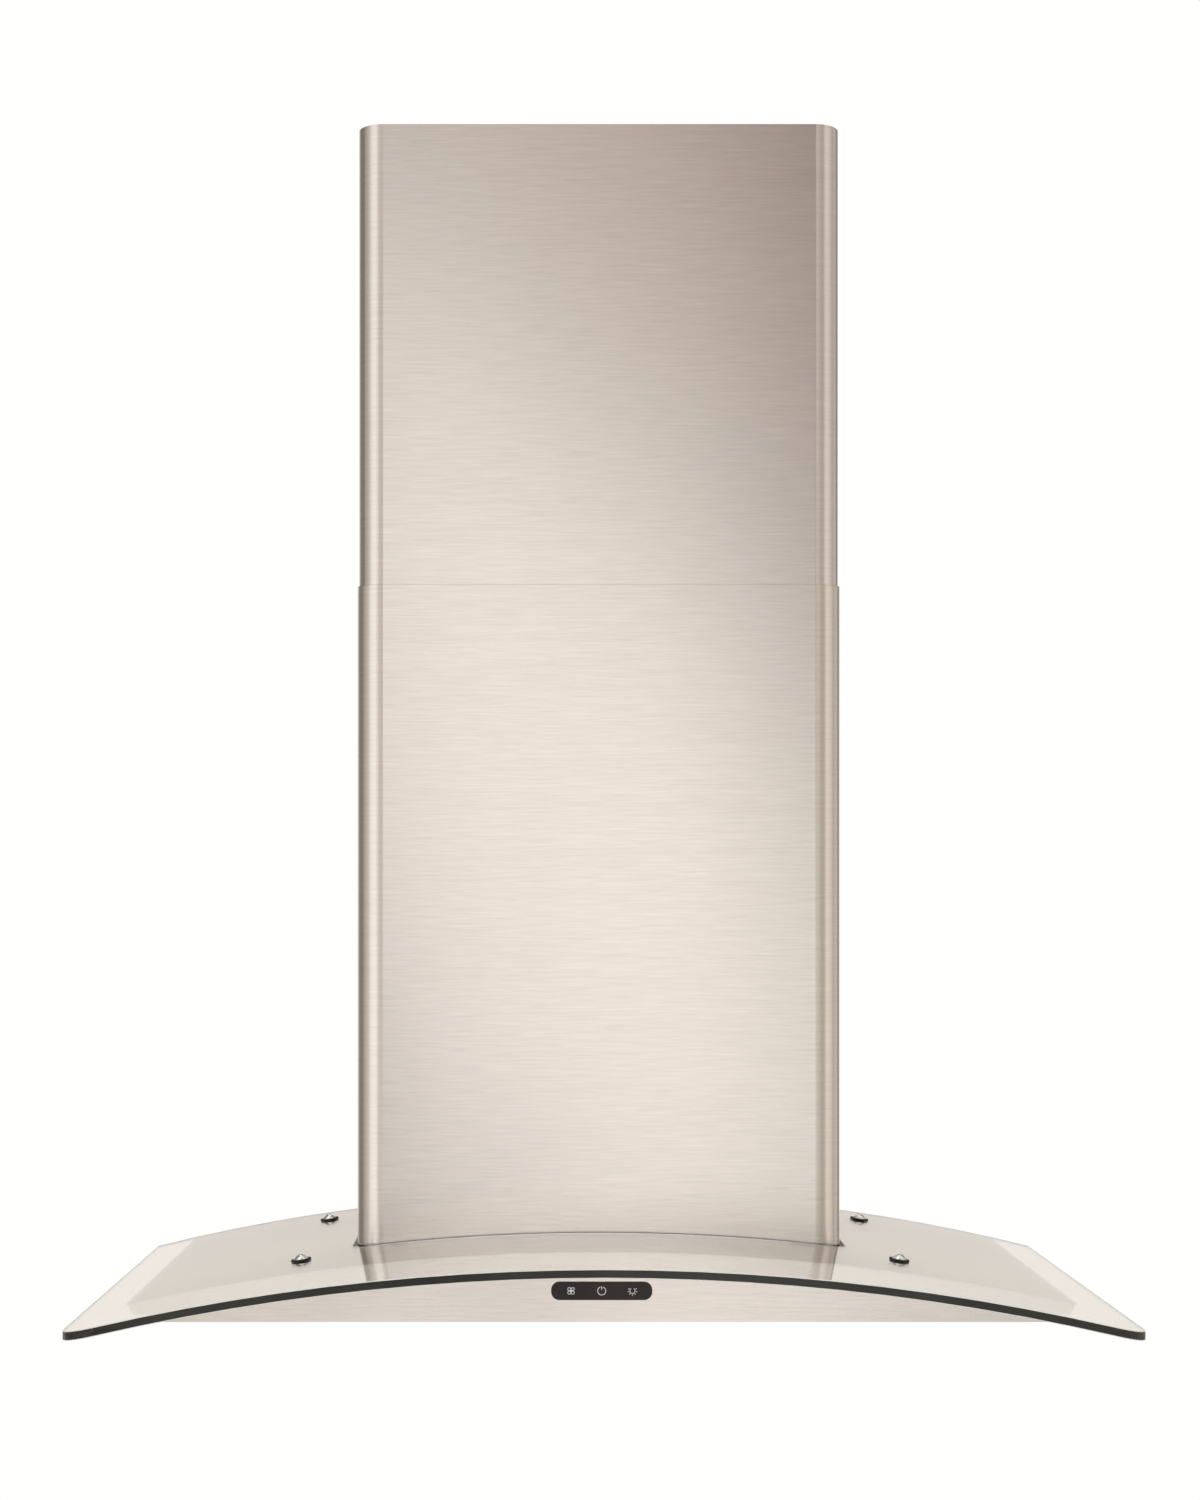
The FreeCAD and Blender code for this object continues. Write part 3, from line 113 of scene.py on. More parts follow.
def sheen_spots(material, shader, amount, low, high):
    """Roughness that wanders between two values with a grain."""
    span = material.node_tree.nodes.new("ShaderNodeMapRange")
    span.inputs["From Min"].default_value, span.inputs["From Max"].default_value = NOISE_RANGE
    span.inputs["To Min"].default_value = low
    span.inputs["To Max"].default_value = high
    material.node_tree.links.new(amount, span.inputs["Value"])
    material.node_tree.links.new(span.outputs["Result"], shader.inputs["Roughness"])


def relief(material, shader, amount, height):
    """Bumps of a height in metres, on top of any that are already there."""
    tree = material.node_tree
    bump = tree.nodes.new("ShaderNodeBump")
    bump.inputs["Strength"].default_value = 1.0
    bump.inputs["Distance"].default_value = height
    tree.links.new(amount, bump.inputs["Height"])
    earlier = shader.inputs["Normal"].links
    if earlier:
        tree.links.new(earlier[0].from_socket, bump.inputs["Normal"])
    tree.links.new(bump.outputs["Normal"], shader.inputs["Normal"])


def dress(material, *names):
    """Give carried-over pieces a finish."""
    for name in names:
        for place in nodes[name].material_slots:
            place.material = material


zinc, zinc_shader = finish("zinc_plating", 0.85, 0.42)
zinc_bloom = grain(zinc, 38, 5)
tones(zinc, zinc_shader, zinc_bloom, (0.60, 0.61, 0.62), (0.72, 0.73, 0.74))
sheen_spots(zinc, zinc_shader, grain(zinc, 90, 4), 0.34, 0.55)
relief(zinc, zinc_shader, grain(zinc, (60, 900, 900), 2), 0.00002)
dress(zinc, "wall_bracket", "hook_rail", "ceiling_bracket", "flue_feet", "glass_nuts")


# ------------------------------------------------------------------ motor box
# Four-sided box of zinc plated sheet with a lid, screwed down on the body's top plate.
# The collar's and the flange's screws are plated too, a little brighter than the sheet.
dress(zinc, "motor_box", "motor_box_lid", "filter_hinges", "capacitor_clip", "motor_bracket")

fixings, fixings_shader = finish("plated_screws", 1.0, 0.3)
tones(fixings, fixings_shader, grain(fixings, 700, 3), (0.55, 0.56, 0.58), (0.78, 0.78, 0.77))
sheen_spots(fixings, fixings_shader, grain(fixings, 1500, 2), 0.22, 0.4)
relief(fixings, fixings_shader, grain(fixings, 2500, 2), 0.000015)
dress(fixings, "plate_screws", "collar_screws", "motor_screws")


# ------------------------------------------------------------------ blower
# Two moulded halves of a scroll round a double-inlet wheel, with the motor in the front inlet.
# Black and grey filled plastic with a faint spark texture; the can of the motor is dark enamel.


def moulded(name, dark, light, roughness, speck=900):
    """Moulded plastic: even colour with slight flow marks and a fine spark texture."""
    plastic, shader = finish(name, 0.0, roughness)
    tones(plastic, shader, grain(plastic, 30, 4), dark, light)
    sheen_spots(plastic, shader, grain(plastic, 120, 3), roughness - 0.06, roughness + 0.08)
    relief(plastic, shader, grain(plastic, speck, 2), 0.00004)
    return plastic


black_plastic = moulded("black_moulding", (0.020, 0.020, 0.022), (0.034, 0.034, 0.036), 0.5)
grey_plastic = moulded("grey_moulding", (0.13, 0.135, 0.14), (0.20, 0.205, 0.21), 0.48)
white_plastic = moulded("white_moulding", (0.70, 0.70, 0.67), (0.82, 0.82, 0.80), 0.42)
dress(black_plastic, "volute_front", "volute_rear")
dress(grey_plastic, "impeller")

shaft_steel, shaft_shader = finish("ground_shaft", 1.0, 0.25)
tones(shaft_steel, shaft_shader, grain(shaft_steel, 400, 2), (0.45, 0.45, 0.46), (0.63, 0.63, 0.62))
sheen_spots(shaft_steel, shaft_shader, grain(shaft_steel, 900, 2), 0.18, 0.34)
relief(shaft_steel, shaft_shader, grain(shaft_steel, 3000, 2), 0.000008)
dress(shaft_steel, "motor_shaft", "damper_rod")

enamel, enamel_shader = finish("motor_enamel", 0.3, 0.4)
tones(enamel, enamel_shader, grain(enamel, 60, 4), (0.022, 0.024, 0.027), (0.05, 0.053, 0.058))
sheen_spots(enamel, enamel_shader, grain(enamel, 200, 3), 0.3, 0.5)
relief(enamel, enamel_shader, grain(enamel, 500, 3), 0.00005)
dress(enamel, "motor")

cast_aluminium, cast_shader = finish("satin_aluminium", 1.0, 0.35)
tones(
    cast_aluminium, cast_shader, grain(cast_aluminium, 25, 4),
    (0.60, 0.61, 0.62), (0.76, 0.77, 0.78)
)
sheen_spots(cast_aluminium, cast_shader, grain(cast_aluminium, (20, 500, 500), 3), 0.28, 0.45)
relief(cast_aluminium, cast_shader, grain(cast_aluminium, (30, 1200, 1200), 2), 0.00002)
dress(cast_aluminium, "capacitor", "lamp_housing_left", "lamp_housing_right")


# ------------------------------------------------------------------ duct collar and damper
# Moulded collar for a 150 mm duct, with two half-moon flaps on a steel rod.
# The flaps fall shut by themselves when the fan stops.
dress(grey_plastic, "duct_collar")
flap_plastic = moulded("flap_moulding", (0.10, 0.105, 0.11), (0.16, 0.165, 0.17), 0.55, 1300)
dress(flap_plastic, "damper_flap_front", "damper_flap_rear")


# ------------------------------------------------------------------ terminal box
# Black tray and cover on the side of the motor box.
# They hold a white screw terminal, and a rubber bush leads a cable in.
rubber = moulded("black_rubber", (0.012, 0.012, 0.012), (0.026, 0.026, 0.025), 0.72, 1600)
dress(black_plastic, "terminal_box", "terminal_cover")
dress(white_plastic, "terminal_block")
dress(rubber, "cable_grommet")


# ------------------------------------------------------------------ steel body
# Folded 1 mm stainless sheet, brushed along its length: a curved top plate, a flat front and an
# underside. The brush leaves fine scratches from side to side and stretches every reflection
# across them.


QUARTER_TURN = 0.25             # of the stretched shine, on sheet that stands upright
BRUSH_LINES = (28, 28, 700)     # short scratches, about 35 mm long and 1.5 mm apart
PLATE_LINES = (28, 700, 700)    # the same on sheet that lies flat
BRUSH_SPREAD = (0.28, 0.72)
BRUSH_DEPTH = 0.0000005
PATCH_SCALE = 0.31              # the shine wanders over patches coarser than the scratches
SHEET_TONES = (0.765, 0.699, 0.637), (0.845, 0.773, 0.706)
# painted shade: the flat sheet's tones are the upright sheet's, darkened by about an eighth
SHADED_PLATE_TONES = (0.66, 0.60, 0.55), (0.74, 0.68, 0.62)


def brushed(name, turn, roughness, streak, dark_and_light):
    """Brushed stainless sheet; turn is that of the stretched shine, streak the cycles per metre."""
    steel, shader = finish(name, 1.0, roughness)
    tree = steel.node_tree
    shader.inputs["Anisotropic"].default_value = 0.9
    shader.inputs["Anisotropic Rotation"].default_value = turn
    around = tree.nodes.new("ShaderNodeTangent")
    around.direction_type = "RADIAL"
    around.axis = "Z"
    tree.links.new(around.outputs["Tangent"], shader.inputs["Tangent"])
    lines = grain(steel, streak, 4)
    tones(steel, shader, lines, *dark_and_light, BRUSH_SPREAD)
    patches = grain(steel, tuple(cycles * PATCH_SCALE for cycles in streak), 3)
    sheen_spots(steel, shader, patches, roughness - 0.02, roughness + 0.02)
    relief(steel, shader, lines, BRUSH_DEPTH)
    return steel


front_steel = brushed("brushed_front", QUARTER_TURN, 0.26, BRUSH_LINES, SHEET_TONES)
dress(front_steel, "front_panel", "body_wrap")

# painted shade: the flat pieces take the darkened tones
flat_steel = brushed("brushed_plate", 0.0, 0.30, PLATE_LINES, SHADED_PLATE_TONES)
dress(flat_steel, "top_plate", "bottom_panel", "lamp_bezel_left", "lamp_bezel_right")
dress(fixings, "panel_screws")


# ------------------------------------------------------------------ touch strip
# Black glass pill flush in the front panel with three printed symbols: fan, power and light.
# Behind it sit a black tray, a green board and three foam posts.
touch_glass, touch_shader = finish("touch_glass", 0.0, 0.09)
tones(
    touch_glass, touch_shader, grain(touch_glass, 60, 3),
    (0.018, 0.013, 0.011), (0.026, 0.019, 0.016)
)
sheen_spots(touch_glass, touch_shader, grain(touch_glass, 90, 4), 0.06, 0.14)
relief(touch_glass, touch_shader, grain(touch_glass, 40, 2), 0.00001)
touch_shader.inputs["Specular IOR Level"].default_value = 0.3
dress(touch_glass, "touch_lens")

print_ink, ink_shader = finish("symbol_print", 0.0, 0.5)
tones(print_ink, ink_shader, grain(print_ink, 1500, 3), (0.86, 0.88, 0.87), (0.97, 0.98, 0.97))
relief(print_ink, ink_shader, grain(print_ink, 4000, 2), 0.00001)
dress(print_ink, "touch_icons")

board, board_shader = finish("green_board", 0.0, 0.3)
tones(board, board_shader, grain(board, 220, 2), (0.008, 0.06, 0.025), (0.02, 0.12, 0.05))
sheen_spots(board, board_shader, grain(board, 500, 2), 0.22, 0.42)
relief(board, board_shader, grain(board, 350, 1), 0.00006)
dress(board, "control_board")
dress(black_plastic, "control_housing")
dress(rubber, "touch_contacts")


# ------------------------------------------------------------------ grease filters
# Two aluminium frames that hang on rear pins, each with a sliding grey latch at the front.
# Each holds a coarse pleated net and a finer flat one of expanded aluminium, cut round the latch.
dress(cast_aluminium, "filter_frame_left", "filter_frame_right")
dress(grey_plastic, "filter_latch_left", "filter_latch_right")

net_metal, net_shader = finish("expanded_aluminium", 1.0, 0.3)
tones(net_metal, net_shader, grain(net_metal, 90, 4), (0.56, 0.57, 0.58), (0.80, 0.80, 0.80))
sheen_spots(net_metal, net_shader, grain(net_metal, 260, 3), 0.2, 0.42)
relief(net_metal, net_shader, grain(net_metal, 900, 2), 0.00003)

NET_THICKNESS = 0.0005
LATCH_BLOCK_HALF = 0.0355     # the nets stop short of the block that holds the latch
LATCH_BLOCK_DEPTH = 0.031


def expanded_net(name, near, far, columns, rows, strand, foot, crest):
    """Net of stretched diamonds over an opening; foot and crest are the heights of its pleats."""
    wide = (far.x - near.x) / columns
    long = (far.y - near.y) / rows
    bpy.ops.object.select_all(action="DESELECT")
    bpy.ops.mesh.primitive_plane_add(size=1, location=(0, 0, 0))
    net = bpy.context.object
    net.name = name
    bpy.ops.object.mode_set(mode="EDIT")
    bpy.ops.transform.rotate(value=math.radians(45), orient_axis="Z", center_override=(0, 0, 0))
    bpy.ops.transform.resize(value=(wide * math.sqrt(0.5), long * math.sqrt(0.5), 1))
    bpy.ops.transform.translate(value=(near.x, near.y, 0))
    bpy.ops.mesh.inset(thickness=strand)
    bpy.ops.mesh.delete(type="FACE")
    bpy.ops.mesh.select_all(action="SELECT")
    bpy.ops.mesh.duplicate()
    bpy.ops.transform.translate(value=(wide / 2, long / 2, 0))
    bpy.ops.object.mode_set(mode="OBJECT")
    for count, step in ((columns + 1, (wide, 0, 0)), (rows + 1, (0, long, 0))):
        repeat = net.modifiers.new("repeat", "ARRAY")
        repeat.count = count
        repeat.use_relative_offset = False
        repeat.use_constant_offset = True
        repeat.constant_offset_displace = step
        bpy.ops.object.modifier_apply(modifier=repeat.name)
    bpy.ops.object.mode_set(mode="EDIT")
    bpy.ops.mesh.select_all(action="SELECT")
    bpy.ops.mesh.remove_doubles(threshold=0.00001)
    for edge, outward in (
        (near, (-1, 0, 0)), (near, (0, -1, 0)), (far, (1, 0, 0)), (far, (0, 1, 0))
    ):
        bpy.ops.mesh.select_all(action="SELECT")
        bpy.ops.mesh.bisect(plane_co=(edge.x, edge.y, 0), plane_no=outward, clear_outer=True)
    bpy.ops.mesh.select_all(action="DESELECT")
    bpy.ops.object.mode_set(mode="OBJECT")
    middle = (near.x + far.x) / 2
    for face in net.data.polygons:
        beside = abs(face.center.x - middle) > LATCH_BLOCK_HALF
        face.select = not beside and face.center.y < near.y + LATCH_BLOCK_DEPTH
    bpy.ops.object.mode_set(mode="EDIT")
    bpy.ops.mesh.delete(type="FACE")
    bpy.ops.object.mode_set(mode="OBJECT")
    for point in net.data.vertices:
        pleat = abs(((point.co.x - near.x) / wide + 0.5) % 1 - 0.5) * 2
        point.co.z = foot + (crest - foot) * pleat
    sheet = net.modifiers.new("sheet", "SOLIDIFY")
    sheet.thickness = NET_THICKNESS
    sheet.offset = 0
    bpy.ops.object.modifier_apply(modifier=sheet.name)
    net.data.materials.append(net_metal)
    return net


for side in ("right", "left"):
    low_corner, high_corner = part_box("filter_mesh_" + side)
    coarse = expanded_net(
        "coarse_net_" + side, low_corner, high_corner, columns=27, rows=32, strand=0.0008,
        foot=low_corner.z + 0.0003, crest=low_corner.z + 0.0040,
    )
    fine = expanded_net(
        "fine_net_" + side, low_corner, high_corner, columns=36, rows=46, strand=0.0005,
        foot=high_corner.z - 0.0008, crest=high_corner.z - 0.0003,
    )
    for net in (coarse, fine):
        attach(net, "filter_" + side)
        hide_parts("filter_mesh_" + side)


# ------------------------------------------------------------------ latch springs
# Behind each latch two small coil springs of ground wire push its tongue out over the front lip.
# They sit between the filter and the latch and shorten as it slides back; here each pair is built
# at rest and attached to neither.
WIRE_RADIUS = 0.0003
WIRE_SIDES = 10
COIL_TURNS = 6
STEPS_PER_TURN = 18

for side in ("right", "left"):
    low_corner, high_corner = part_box("latch_spring_" + side)
    coil_radius = (high_corner.z - low_corner.z) / 2
    level = (high_corner.z + low_corner.z) / 2
    bpy.ops.object.select_all(action="DESELECT")
    bpy.ops.mesh.primitive_circle_add(vertices=WIRE_SIDES, radius=WIRE_RADIUS, location=(0, 0, 0))
    coils = bpy.context.object
    coils.name = "coil_pair_" + side
    bpy.ops.object.mode_set(mode="EDIT")
    bpy.ops.transform.translate(value=(coil_radius - WIRE_RADIUS, 0, 0))
    bpy.ops.object.mode_set(mode="OBJECT")
    wound = coils.modifiers.new("wound", "SCREW")
    wound.axis = "Y"
    wound.angle = 2 * math.pi * COIL_TURNS
    wound.screw_offset = high_corner.y - low_corner.y - 2 * WIRE_RADIUS
    wound.steps = wound.render_steps = STEPS_PER_TURN * COIL_TURNS
    bpy.ops.object.modifier_apply(modifier=wound.name)
    bpy.ops.object.mode_set(mode="EDIT")
    bpy.ops.mesh.select_all(action="SELECT")
    bpy.ops.mesh.fill_holes(sides=0)
    bpy.ops.mesh.select_all(action="SELECT")
    bpy.ops.mesh.normals_make_consistent(inside=False)
    first_coil = (low_corner.x + coil_radius, low_corner.y + WIRE_RADIUS, level)
    bpy.ops.transform.translate(value=first_coil)
    bpy.ops.mesh.duplicate()
    bpy.ops.transform.translate(value=(high_corner.x - low_corner.x - 2 * coil_radius, 0, 0))
    bpy.ops.object.mode_set(mode="OBJECT")
    bpy.ops.object.shade_smooth_by_angle(angle=math.radians(50))
    coils.data.materials.append(shaft_steel)
    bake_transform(coils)
    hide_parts("latch_spring_" + side)


# ------------------------------------------------------------------ lamps
# Round frosted lamps in steel rings.
# Behind each lens are a ribbed aluminium cup and a white board of chips.
frosted, frosted_shader = finish("frosted_lens", 0.0, 0.5)
tones(frosted, frosted_shader, grain(frosted, 120, 3), (0.80, 0.80, 0.76), (0.90, 0.90, 0.87))
relief(frosted, frosted_shader, grain(frosted, 1400, 3), 0.00005)
frosted_shader.inputs["Subsurface Weight"].default_value = 0.3
frosted_shader.inputs["Subsurface Radius"].default_value = (0.003, 0.003, 0.003)
dress(frosted, "lamp_lens_left", "lamp_lens_right")
dress(white_plastic, "lamp_board_left", "lamp_board_right")


# ------------------------------------------------------------------ curved glass
# One bent sheet of 8 mm safety glass on four screws; clear, with a green polished edge darkened by
# painted shade.
# Rubber pads lie under it, black washers and domed chrome screws on top.
glass, glass_shader = finish("canopy_glass", 0.0, 0.0)
glass_shader.inputs["Transmission Weight"].default_value = 1.0
glass_shader.inputs["IOR"].default_value = 1.52
tones(glass, glass_shader, grain(glass, 4, 2), (0.972, 0.976, 0.962), (0.980, 0.984, 0.972))
sheen_spots(glass, glass_shader, grain(glass, 12, 4), 0.0, 0.012)

# painted shade: the edge faces are opaque and near-black green; the green is the glass's own tint,
# the darkness stands in for the shade seen in the edge
edge_tint_and_shade, edge_shader = finish("glass_edge_tint_and_painted_shade", 0.0, 0.12)
tones(
    edge_tint_and_shade, edge_shader, grain(edge_tint_and_shade, 18, 3),
    (0.016, 0.015, 0.010), (0.028, 0.027, 0.019)
)
sheen_spots(edge_tint_and_shade, edge_shader, grain(edge_tint_and_shade, 160, 3), 0.10, 0.2)
relief(edge_tint_and_shade, edge_shader, grain(edge_tint_and_shade, 90, 2), 0.00001)
edge_shader.inputs["Specular IOR Level"].default_value = 0.4
# partly painted highlight: the ground arris is whitish of itself, and its near-white opaque colour
# also stands in for the bright line along the edge
arris_frost_and_highlight, arris_shader = finish("arris_frost_and_highlight", 0.0, 0.5)
tones(
    arris_frost_and_highlight, arris_shader, grain(arris_frost_and_highlight, 400, 3), (0.88, 0.88, 0.86), (0.98, 0.98, 0.96)
)
sheen_spots(arris_frost_and_highlight, arris_shader, grain(arris_frost_and_highlight, 900, 2), 0.42, 0.6)
relief(arris_frost_and_highlight, arris_shader, grain(arris_frost_and_highlight, 1500, 2), 0.00002)

GLASS_BEND_RADIUS = 1.875
GLASS_TOP = -0.180
BROAD_RISE = 0.95       # faces that rise this much along the bend's radius are the broad ones
ARRIS_RISE = 0.3        # the slanted arrises rise this much, and the polished edge less
FACES_BACK = 0.3        # a face with more of its normal than this along Y faces back
CUT_OUT_REAR = -0.1     # of those, the cut-out's wall, left clear, lies in front of this


def bend_radius_at(at):
    """Direction of the bend's radius at a point of the sheet."""
    return Vector((at.x, 0, at.z - GLASS_TOP + GLASS_BEND_RADIUS)).normalized()


canopy = nodes["glass_canopy"].copy()
canopy.data = nodes["glass_canopy"].data.copy()
canopy.name = "bent_glass"
scene_pieces = bpy.context.scene.collection.objects
scene_pieces.link(canopy)
bpy.ops.object.select_all(action="DESELECT")
bpy.context.view_layer.objects.active = canopy
canopy.select_set(True)
bpy.ops.object.mode_set(mode="EDIT")
bpy.ops.mesh.select_all(action="SELECT")
bpy.ops.mesh.remove_doubles(threshold=0.000002)
bpy.ops.object.mode_set(mode="OBJECT")
bpy.ops.object.shade_smooth_by_angle(angle=math.radians(20))
canopy.data.materials.clear()
for coat in (glass, edge_tint_and_shade, arris_frost_and_highlight):
    canopy.data.materials.append(coat)
faired = [Vector(corner.vector) for corner in canopy.data.corner_normals]
for face in canopy.data.polygons:
    rise = face.normal.dot(bend_radius_at(face.center))
    toward_flue = face.normal.y > FACES_BACK and face.center.y < CUT_OUT_REAR
    if abs(rise) > BROAD_RISE:
        face.material_index = 0
        for corner in face.loop_indices:
            at = canopy.data.vertices[canopy.data.loops[corner].vertex_index].co
            across = bend_radius_at(at)
            faired[corner] = across if rise > 0 else -across
    elif toward_flue:
        face.material_index = 0
    elif abs(rise) > ARRIS_RISE:
        face.material_index = 2
    else:
        face.material_index = 1
canopy.data.normals_split_custom_set(faired)
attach(canopy, "hood")
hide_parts("glass_canopy")
dress(rubber, "glass_pads", "glass_washers")

chrome, chrome_shader = finish("chrome_screws", 1.0, 0.08)
tones(chrome, chrome_shader, grain(chrome, 500, 3), (0.78, 0.77, 0.75), (0.93, 0.92, 0.90))
sheen_spots(chrome, chrome_shader, grain(chrome, 1200, 2), 0.05, 0.12)
relief(chrome, chrome_shader, grain(chrome, 2200, 2), 0.000012)
dress(chrome, "glass_screws", "upper_flue_screws")


# ------------------------------------------------------------------ chimney
# Two folded stainless covers with rounded front corners, brushed sideways.
# The upper one slides inside the lower one.
FLUE_ROUGHNESS = 0.22
upper_steel = brushed("brushed_upper_flue", QUARTER_TURN, FLUE_ROUGHNESS, BRUSH_LINES, SHEET_TONES)
dress(upper_steel, "upper_flue")


def shaded(material, stops):
    """Painted shade: dim the colour with the height on the piece, by a list of (height, factor)
    stops.
    """
    tree = material.node_tree
    shader = tree.nodes["Principled BSDF"]
    place = tree.nodes.new("ShaderNodeTexCoord")
    apart = tree.nodes.new("ShaderNodeSeparateXYZ")
    tree.links.new(place.outputs["Object"], apart.inputs["Vector"])
    low, high = stops[0][0], stops[-1][0]
    span = tree.nodes.new("ShaderNodeMapRange")
    span.inputs["From Min"].default_value = low
    span.inputs["From Max"].default_value = high
    tree.links.new(apart.outputs["Z"], span.inputs["Value"])
    ramp = tree.nodes.new("ShaderNodeValToRGB")
    while len(ramp.color_ramp.elements) < len(stops):
        ramp.color_ramp.elements.new(0.5)
    for element, (at, factor) in zip(ramp.color_ramp.elements, stops):
        element.position = (at - low) / (high - low)
        element.color = (factor, factor, factor, 1)
    tree.links.new(span.outputs["Result"], ramp.inputs["Fac"])
    blend = tree.nodes.new("ShaderNodeMix")
    blend.data_type = "RGBA"
    blend.blend_type = "MULTIPLY"
    blend.inputs["Factor"].default_value = 1.0
    tree.links.new(shader.inputs["Base Color"].links[0].from_socket, blend.inputs["A"])
    tree.links.new(ramp.outputs["Color"], blend.inputs["B"])
    tree.links.new(blend.outputs["Result"], shader.inputs["Base Color"])


# painted shade line at the joint: the lower cover's cut top edge, the last millimetre of its
# height, is darkened
JOINT_SHADE = 0.88
lower_steel = brushed("brushed_lower_flue", QUARTER_TURN, FLUE_ROUGHNESS, BRUSH_LINES, SHEET_TONES)
shaded(lower_steel, [(0.4080, 1.0), (0.4093, 1.0), (0.4095, JOINT_SHADE), (0.4110, JOINT_SHADE)])
dress(lower_steel, "lower_flue")


# ------------------------------------------------------------------ studio
# Pale floor and an even pale surround.
# A large graded light panel stands behind the camera, with a low strip of light under it.


def numbers(tree, kind, *values):
    """Arithmetic on sockets or plain numbers."""
    node = tree.nodes.new("ShaderNodeMath")
    node.operation = kind
    for place, value in zip(node.inputs, values):
        if isinstance(value, (int, float)):
            place.default_value = value
        else:
            tree.links.new(value, place)
    return node.outputs[0]


def product(tree, one, other):
    """One colour socket times another."""
    node = tree.nodes.new("ShaderNodeVectorMath")
    node.operation = "MULTIPLY"
    tree.links.new(one, node.inputs[0])
    tree.links.new(other, node.inputs[1])
    return node.outputs["Vector"]


def graded(tree, value, stops):
    """Brightness by (value, brightness) stops; the ramp itself holds shares of the brightest."""
    low, high = stops[0][0], stops[-1][0]
    span = tree.nodes.new("ShaderNodeMapRange")
    span.inputs["From Min"].default_value = low
    span.inputs["From Max"].default_value = high
    tree.links.new(value, span.inputs["Value"])
    ramp = tree.nodes.new("ShaderNodeValToRGB")
    ramp.color_ramp.interpolation = "B_SPLINE"
    while len(ramp.color_ramp.elements) < len(stops):
        ramp.color_ramp.elements.new(0.5)
    colours = [level if isinstance(level, tuple) else (level, level, level) for _, level in stops]
    peak = max(max(colour) for colour in colours)
    for element, (at, _), colour in zip(ramp.color_ramp.elements, stops, colours):
        element.position = (at - low) / (high - low)
        element.color = (*(share / peak for share in colour), 1)
    tree.links.new(span.outputs["Result"], ramp.inputs["Fac"])
    scaled = tree.nodes.new("ShaderNodeVectorMath")
    scaled.operation = "SCALE"
    scaled.inputs["Scale"].default_value = peak
    tree.links.new(ramp.outputs["Color"], scaled.inputs[0])
    return scaled.outputs["Vector"]


SEEN_BACKDROP = (1, 1, 0.99, 1)
scene = bpy.context.scene
scene.view_settings.view_transform = "Standard"
surround = bpy.data.worlds.new("pale_surround")
scene.world = surround
surround.use_nodes = True
sky = surround.node_tree
back = sky.nodes["Background"]
ray = sky.nodes.new("ShaderNodeTexCoord")
parts = sky.nodes.new("ShaderNodeSeparateXYZ")
sky.links.new(ray.outputs["Generated"], parts.inputs["Vector"])
forward = numbers(sky, "MULTIPLY", parts.outputs["Y"], -1.0)
turn = numbers(sky, "ARCTAN2", parts.outputs["X"], forward)
# soft boxes to the left and right of the camera, with darker flags between and behind them
WARM = (1.05, 0.99, 0.92)
WHITE_FROM = 0.95     # brighter stops than this are white, all others warm
ring = graded(sky, turn, [
    (math.radians(at), level if level >= WHITE_FROM else tuple(level * tint for tint in WARM))
    for at, level in (
        (-180, 0.86), (-152, 0.86), (-141, 0.29), (-113, 0.22), (-105, 0.27), (-96, 0.41),
        (-84, 0.56), (-70, 0.70), (-62, 1.02), (-50, 1.18), (-34, 1.18), (-24, 0.70), (-10, 0.63),
        (6, 0.78), (16, 0.77), (25, 0.59), (38, 0.48), (47, 0.52), (54, 0.87), (68, 0.86),
        (84, 0.71), (96, 0.42), (110, 0.69), (120, 0.56), (131, 0.35), (144, 0.19), (154, 0.86),
        (180, 0.86),
    )
])
lift = numbers(sky, "ARCSINE", parts.outputs["Z"])
height = graded(sky, lift, [
    (math.radians(at), level) for at, level in (
        (-90, 1.0), (-40, 0.9), (-8, 1.05), (4, 1.0), (16, 0.82), (40, 0.82), (58, 1.1), (90, 1.6)
    )
])
seen = sky.nodes.new("ShaderNodeLightPath")
pick = sky.nodes.new("ShaderNodeMix")
pick.data_type = "RGBA"
sky.links.new(seen.outputs["Is Camera Ray"], pick.inputs["Factor"])
sky.links.new(product(sky, ring, height), pick.inputs["A"])
pick.inputs["B"].default_value = SEEN_BACKDROP
sky.links.new(pick.outputs["Result"], back.inputs["Color"])

# graded light panel behind the camera and a low strip under it, both out of its sight
PANEL_Y = -1.90
PANEL_SIDES = (-0.44, 0.68)
PANEL_TOP = 2.15
STRIP_SIDES = (-1.05, 1.05)
STRIP_TOP = -0.425
STRIP_FOOT = -1.2


def light_sheet(name, x0, x1, z0, z1):
    """Upright sheet of light that faces the hood, and the sockets of its place across and up."""
    bpy.ops.object.select_all(action="DESELECT")
    bpy.ops.mesh.primitive_plane_add(size=1, location=(0, 0, 0))
    sheet = bpy.context.object
    sheet.name = name
    bpy.ops.object.mode_set(mode="EDIT")
    bpy.ops.transform.resize(value=(x1 - x0, z1 - z0, 1))
    bpy.ops.transform.rotate(value=math.radians(90), orient_axis="X", center_override=(0, 0, 0))
    bpy.ops.transform.translate(value=((x0 + x1) / 2, PANEL_Y, (z0 + z1) / 2))
    bpy.ops.object.mode_set(mode="OBJECT")
    glow = bpy.data.materials.new(name)
    glow.use_nodes = True
    tree = glow.node_tree
    tree.nodes.remove(tree.nodes["Principled BSDF"])
    shine = tree.nodes.new("ShaderNodeEmission")
    tree.links.new(shine.outputs["Emission"], tree.nodes["Material Output"].inputs["Surface"])
    spot = tree.nodes.new("ShaderNodeTexCoord")
    where = tree.nodes.new("ShaderNodeSeparateXYZ")
    tree.links.new(spot.outputs["Object"], where.inputs["Vector"])
    sheet.data.materials.append(glow)
    sheet.visible_camera = False
    return tree, shine, where


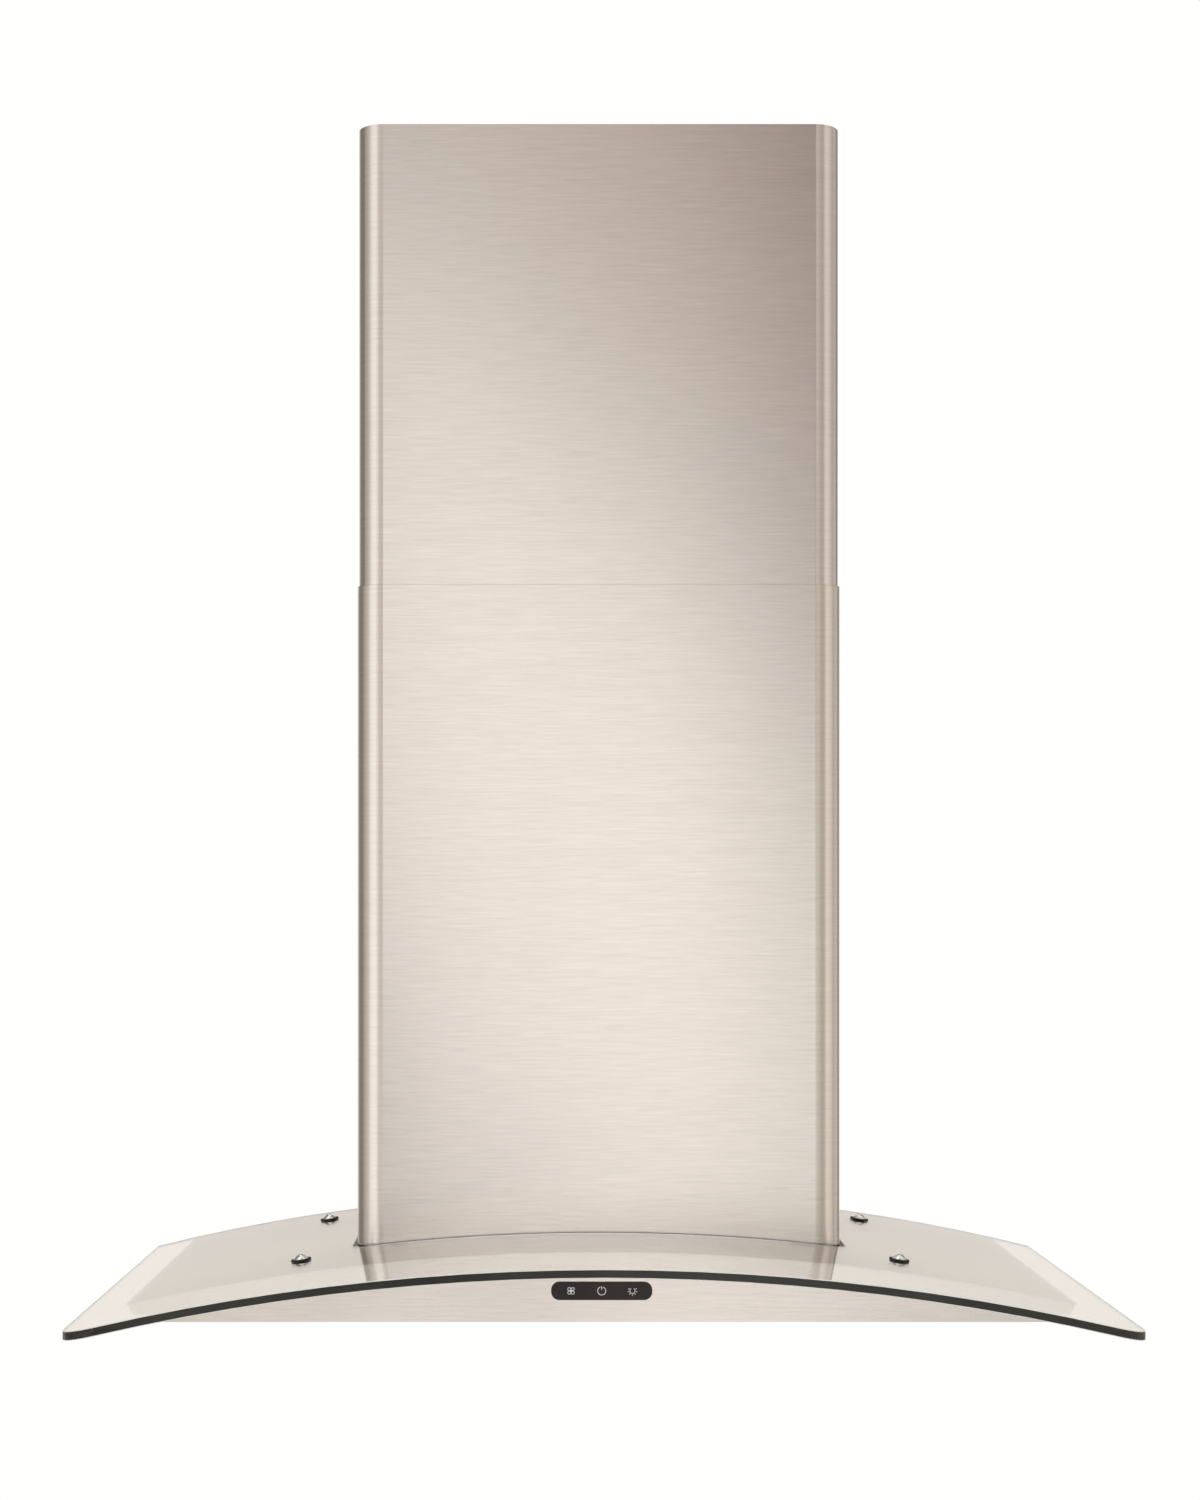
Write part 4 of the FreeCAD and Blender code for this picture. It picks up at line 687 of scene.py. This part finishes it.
lamp, shine, where = light_sheet("light_panel", *PANEL_SIDES, STRIP_TOP, PANEL_TOP)
across_and_up = numbers(lamp, "ADD", where.outputs["X"], where.outputs["Z"])
slant = numbers(lamp, "MULTIPLY", across_and_up, math.sqrt(0.5))
band = graded(lamp, slant, [
    (-0.62, (0.0, 0.0, 0.0)), (-0.45, (0.02, 0.01, 0.01)), (-0.28, (1.165, 1.145, 1.145)),
    (0.0, (1.045, 1.035, 1.02)), (0.25, (1.135, 1.13, 1.12)), (0.5, (1.105, 1.11, 1.085)),
    (0.75, (0.525, 0.485, 0.49)), (1.0, (0.635, 0.58, 0.555)),
    (1.25, (0.335, 0.285, 0.27)), (1.5, (0.3, 0.25, 0.23)),
])
sides = graded(lamp, where.outputs["X"], [
    (-0.44, 0.84), (-0.31, 0.92), (-0.2, 1.0), (0.1, 1.04), (0.2, 1.0), (0.30, 0.92),
    (0.38, 0.82), (0.68, 0.76),
])
lamp.links.new(product(lamp, band, sides), shine.inputs["Color"])

lamp, shine, where = light_sheet("low_strip", *STRIP_SIDES, STRIP_FOOT, STRIP_TOP)
patches = graded(lamp, where.outputs["X"], [
    (-1.05, 0.6), (-0.66, 0.84), (-0.50, 1.08), (-0.36, 1.30), (-0.25, 1.28), (-0.17, 1.0),
    (-0.10, 0.78), (-0.02, 0.86), (0.10, 1.04), (0.28, 1.08), (0.42, 1.04), (0.58, 0.88),
    (0.80, 0.7), (1.05, 0.6),
])
lamp.links.new(patches, shine.inputs["Color"])

# pale floor, as far below the hood as a view of its underside needs
FLOOR_SIZE = (14, 12, 1)
FLOOR_PLACE = (0, -0.2, -3.0)
bpy.ops.object.select_all(action="DESELECT")
bpy.ops.mesh.primitive_plane_add(size=1, location=(0, 0, 0))
floor = bpy.context.object
floor.name = "floor"
bpy.ops.object.mode_set(mode="EDIT")
bpy.ops.transform.resize(value=FLOOR_SIZE)
bpy.ops.transform.translate(value=FLOOR_PLACE)
bpy.ops.object.mode_set(mode="OBJECT")
pale, pale_shader = finish("pale_floor", 0.0, 0.8)
tones(pale, pale_shader, grain(pale, 3, 3), (0.84, 0.83, 0.81), (0.88, 0.87, 0.85))
floor.data.materials.append(pale)

# camera straight on, a little above the glass
camera_data = bpy.data.cameras.new("camera")
camera_data.lens = 55.46
camera_data.sensor_width = 36
camera_data.shift_x = 0.0335
camera_data.shift_y = 0.1023
camera = bpy.data.objects.new("camera", camera_data)
camera.location = (-0.045, -2.3915, 0.1194)
camera.rotation_euler = (math.radians(90), 0, 0)
scene.collection.objects.link(camera)
scene.camera = camera
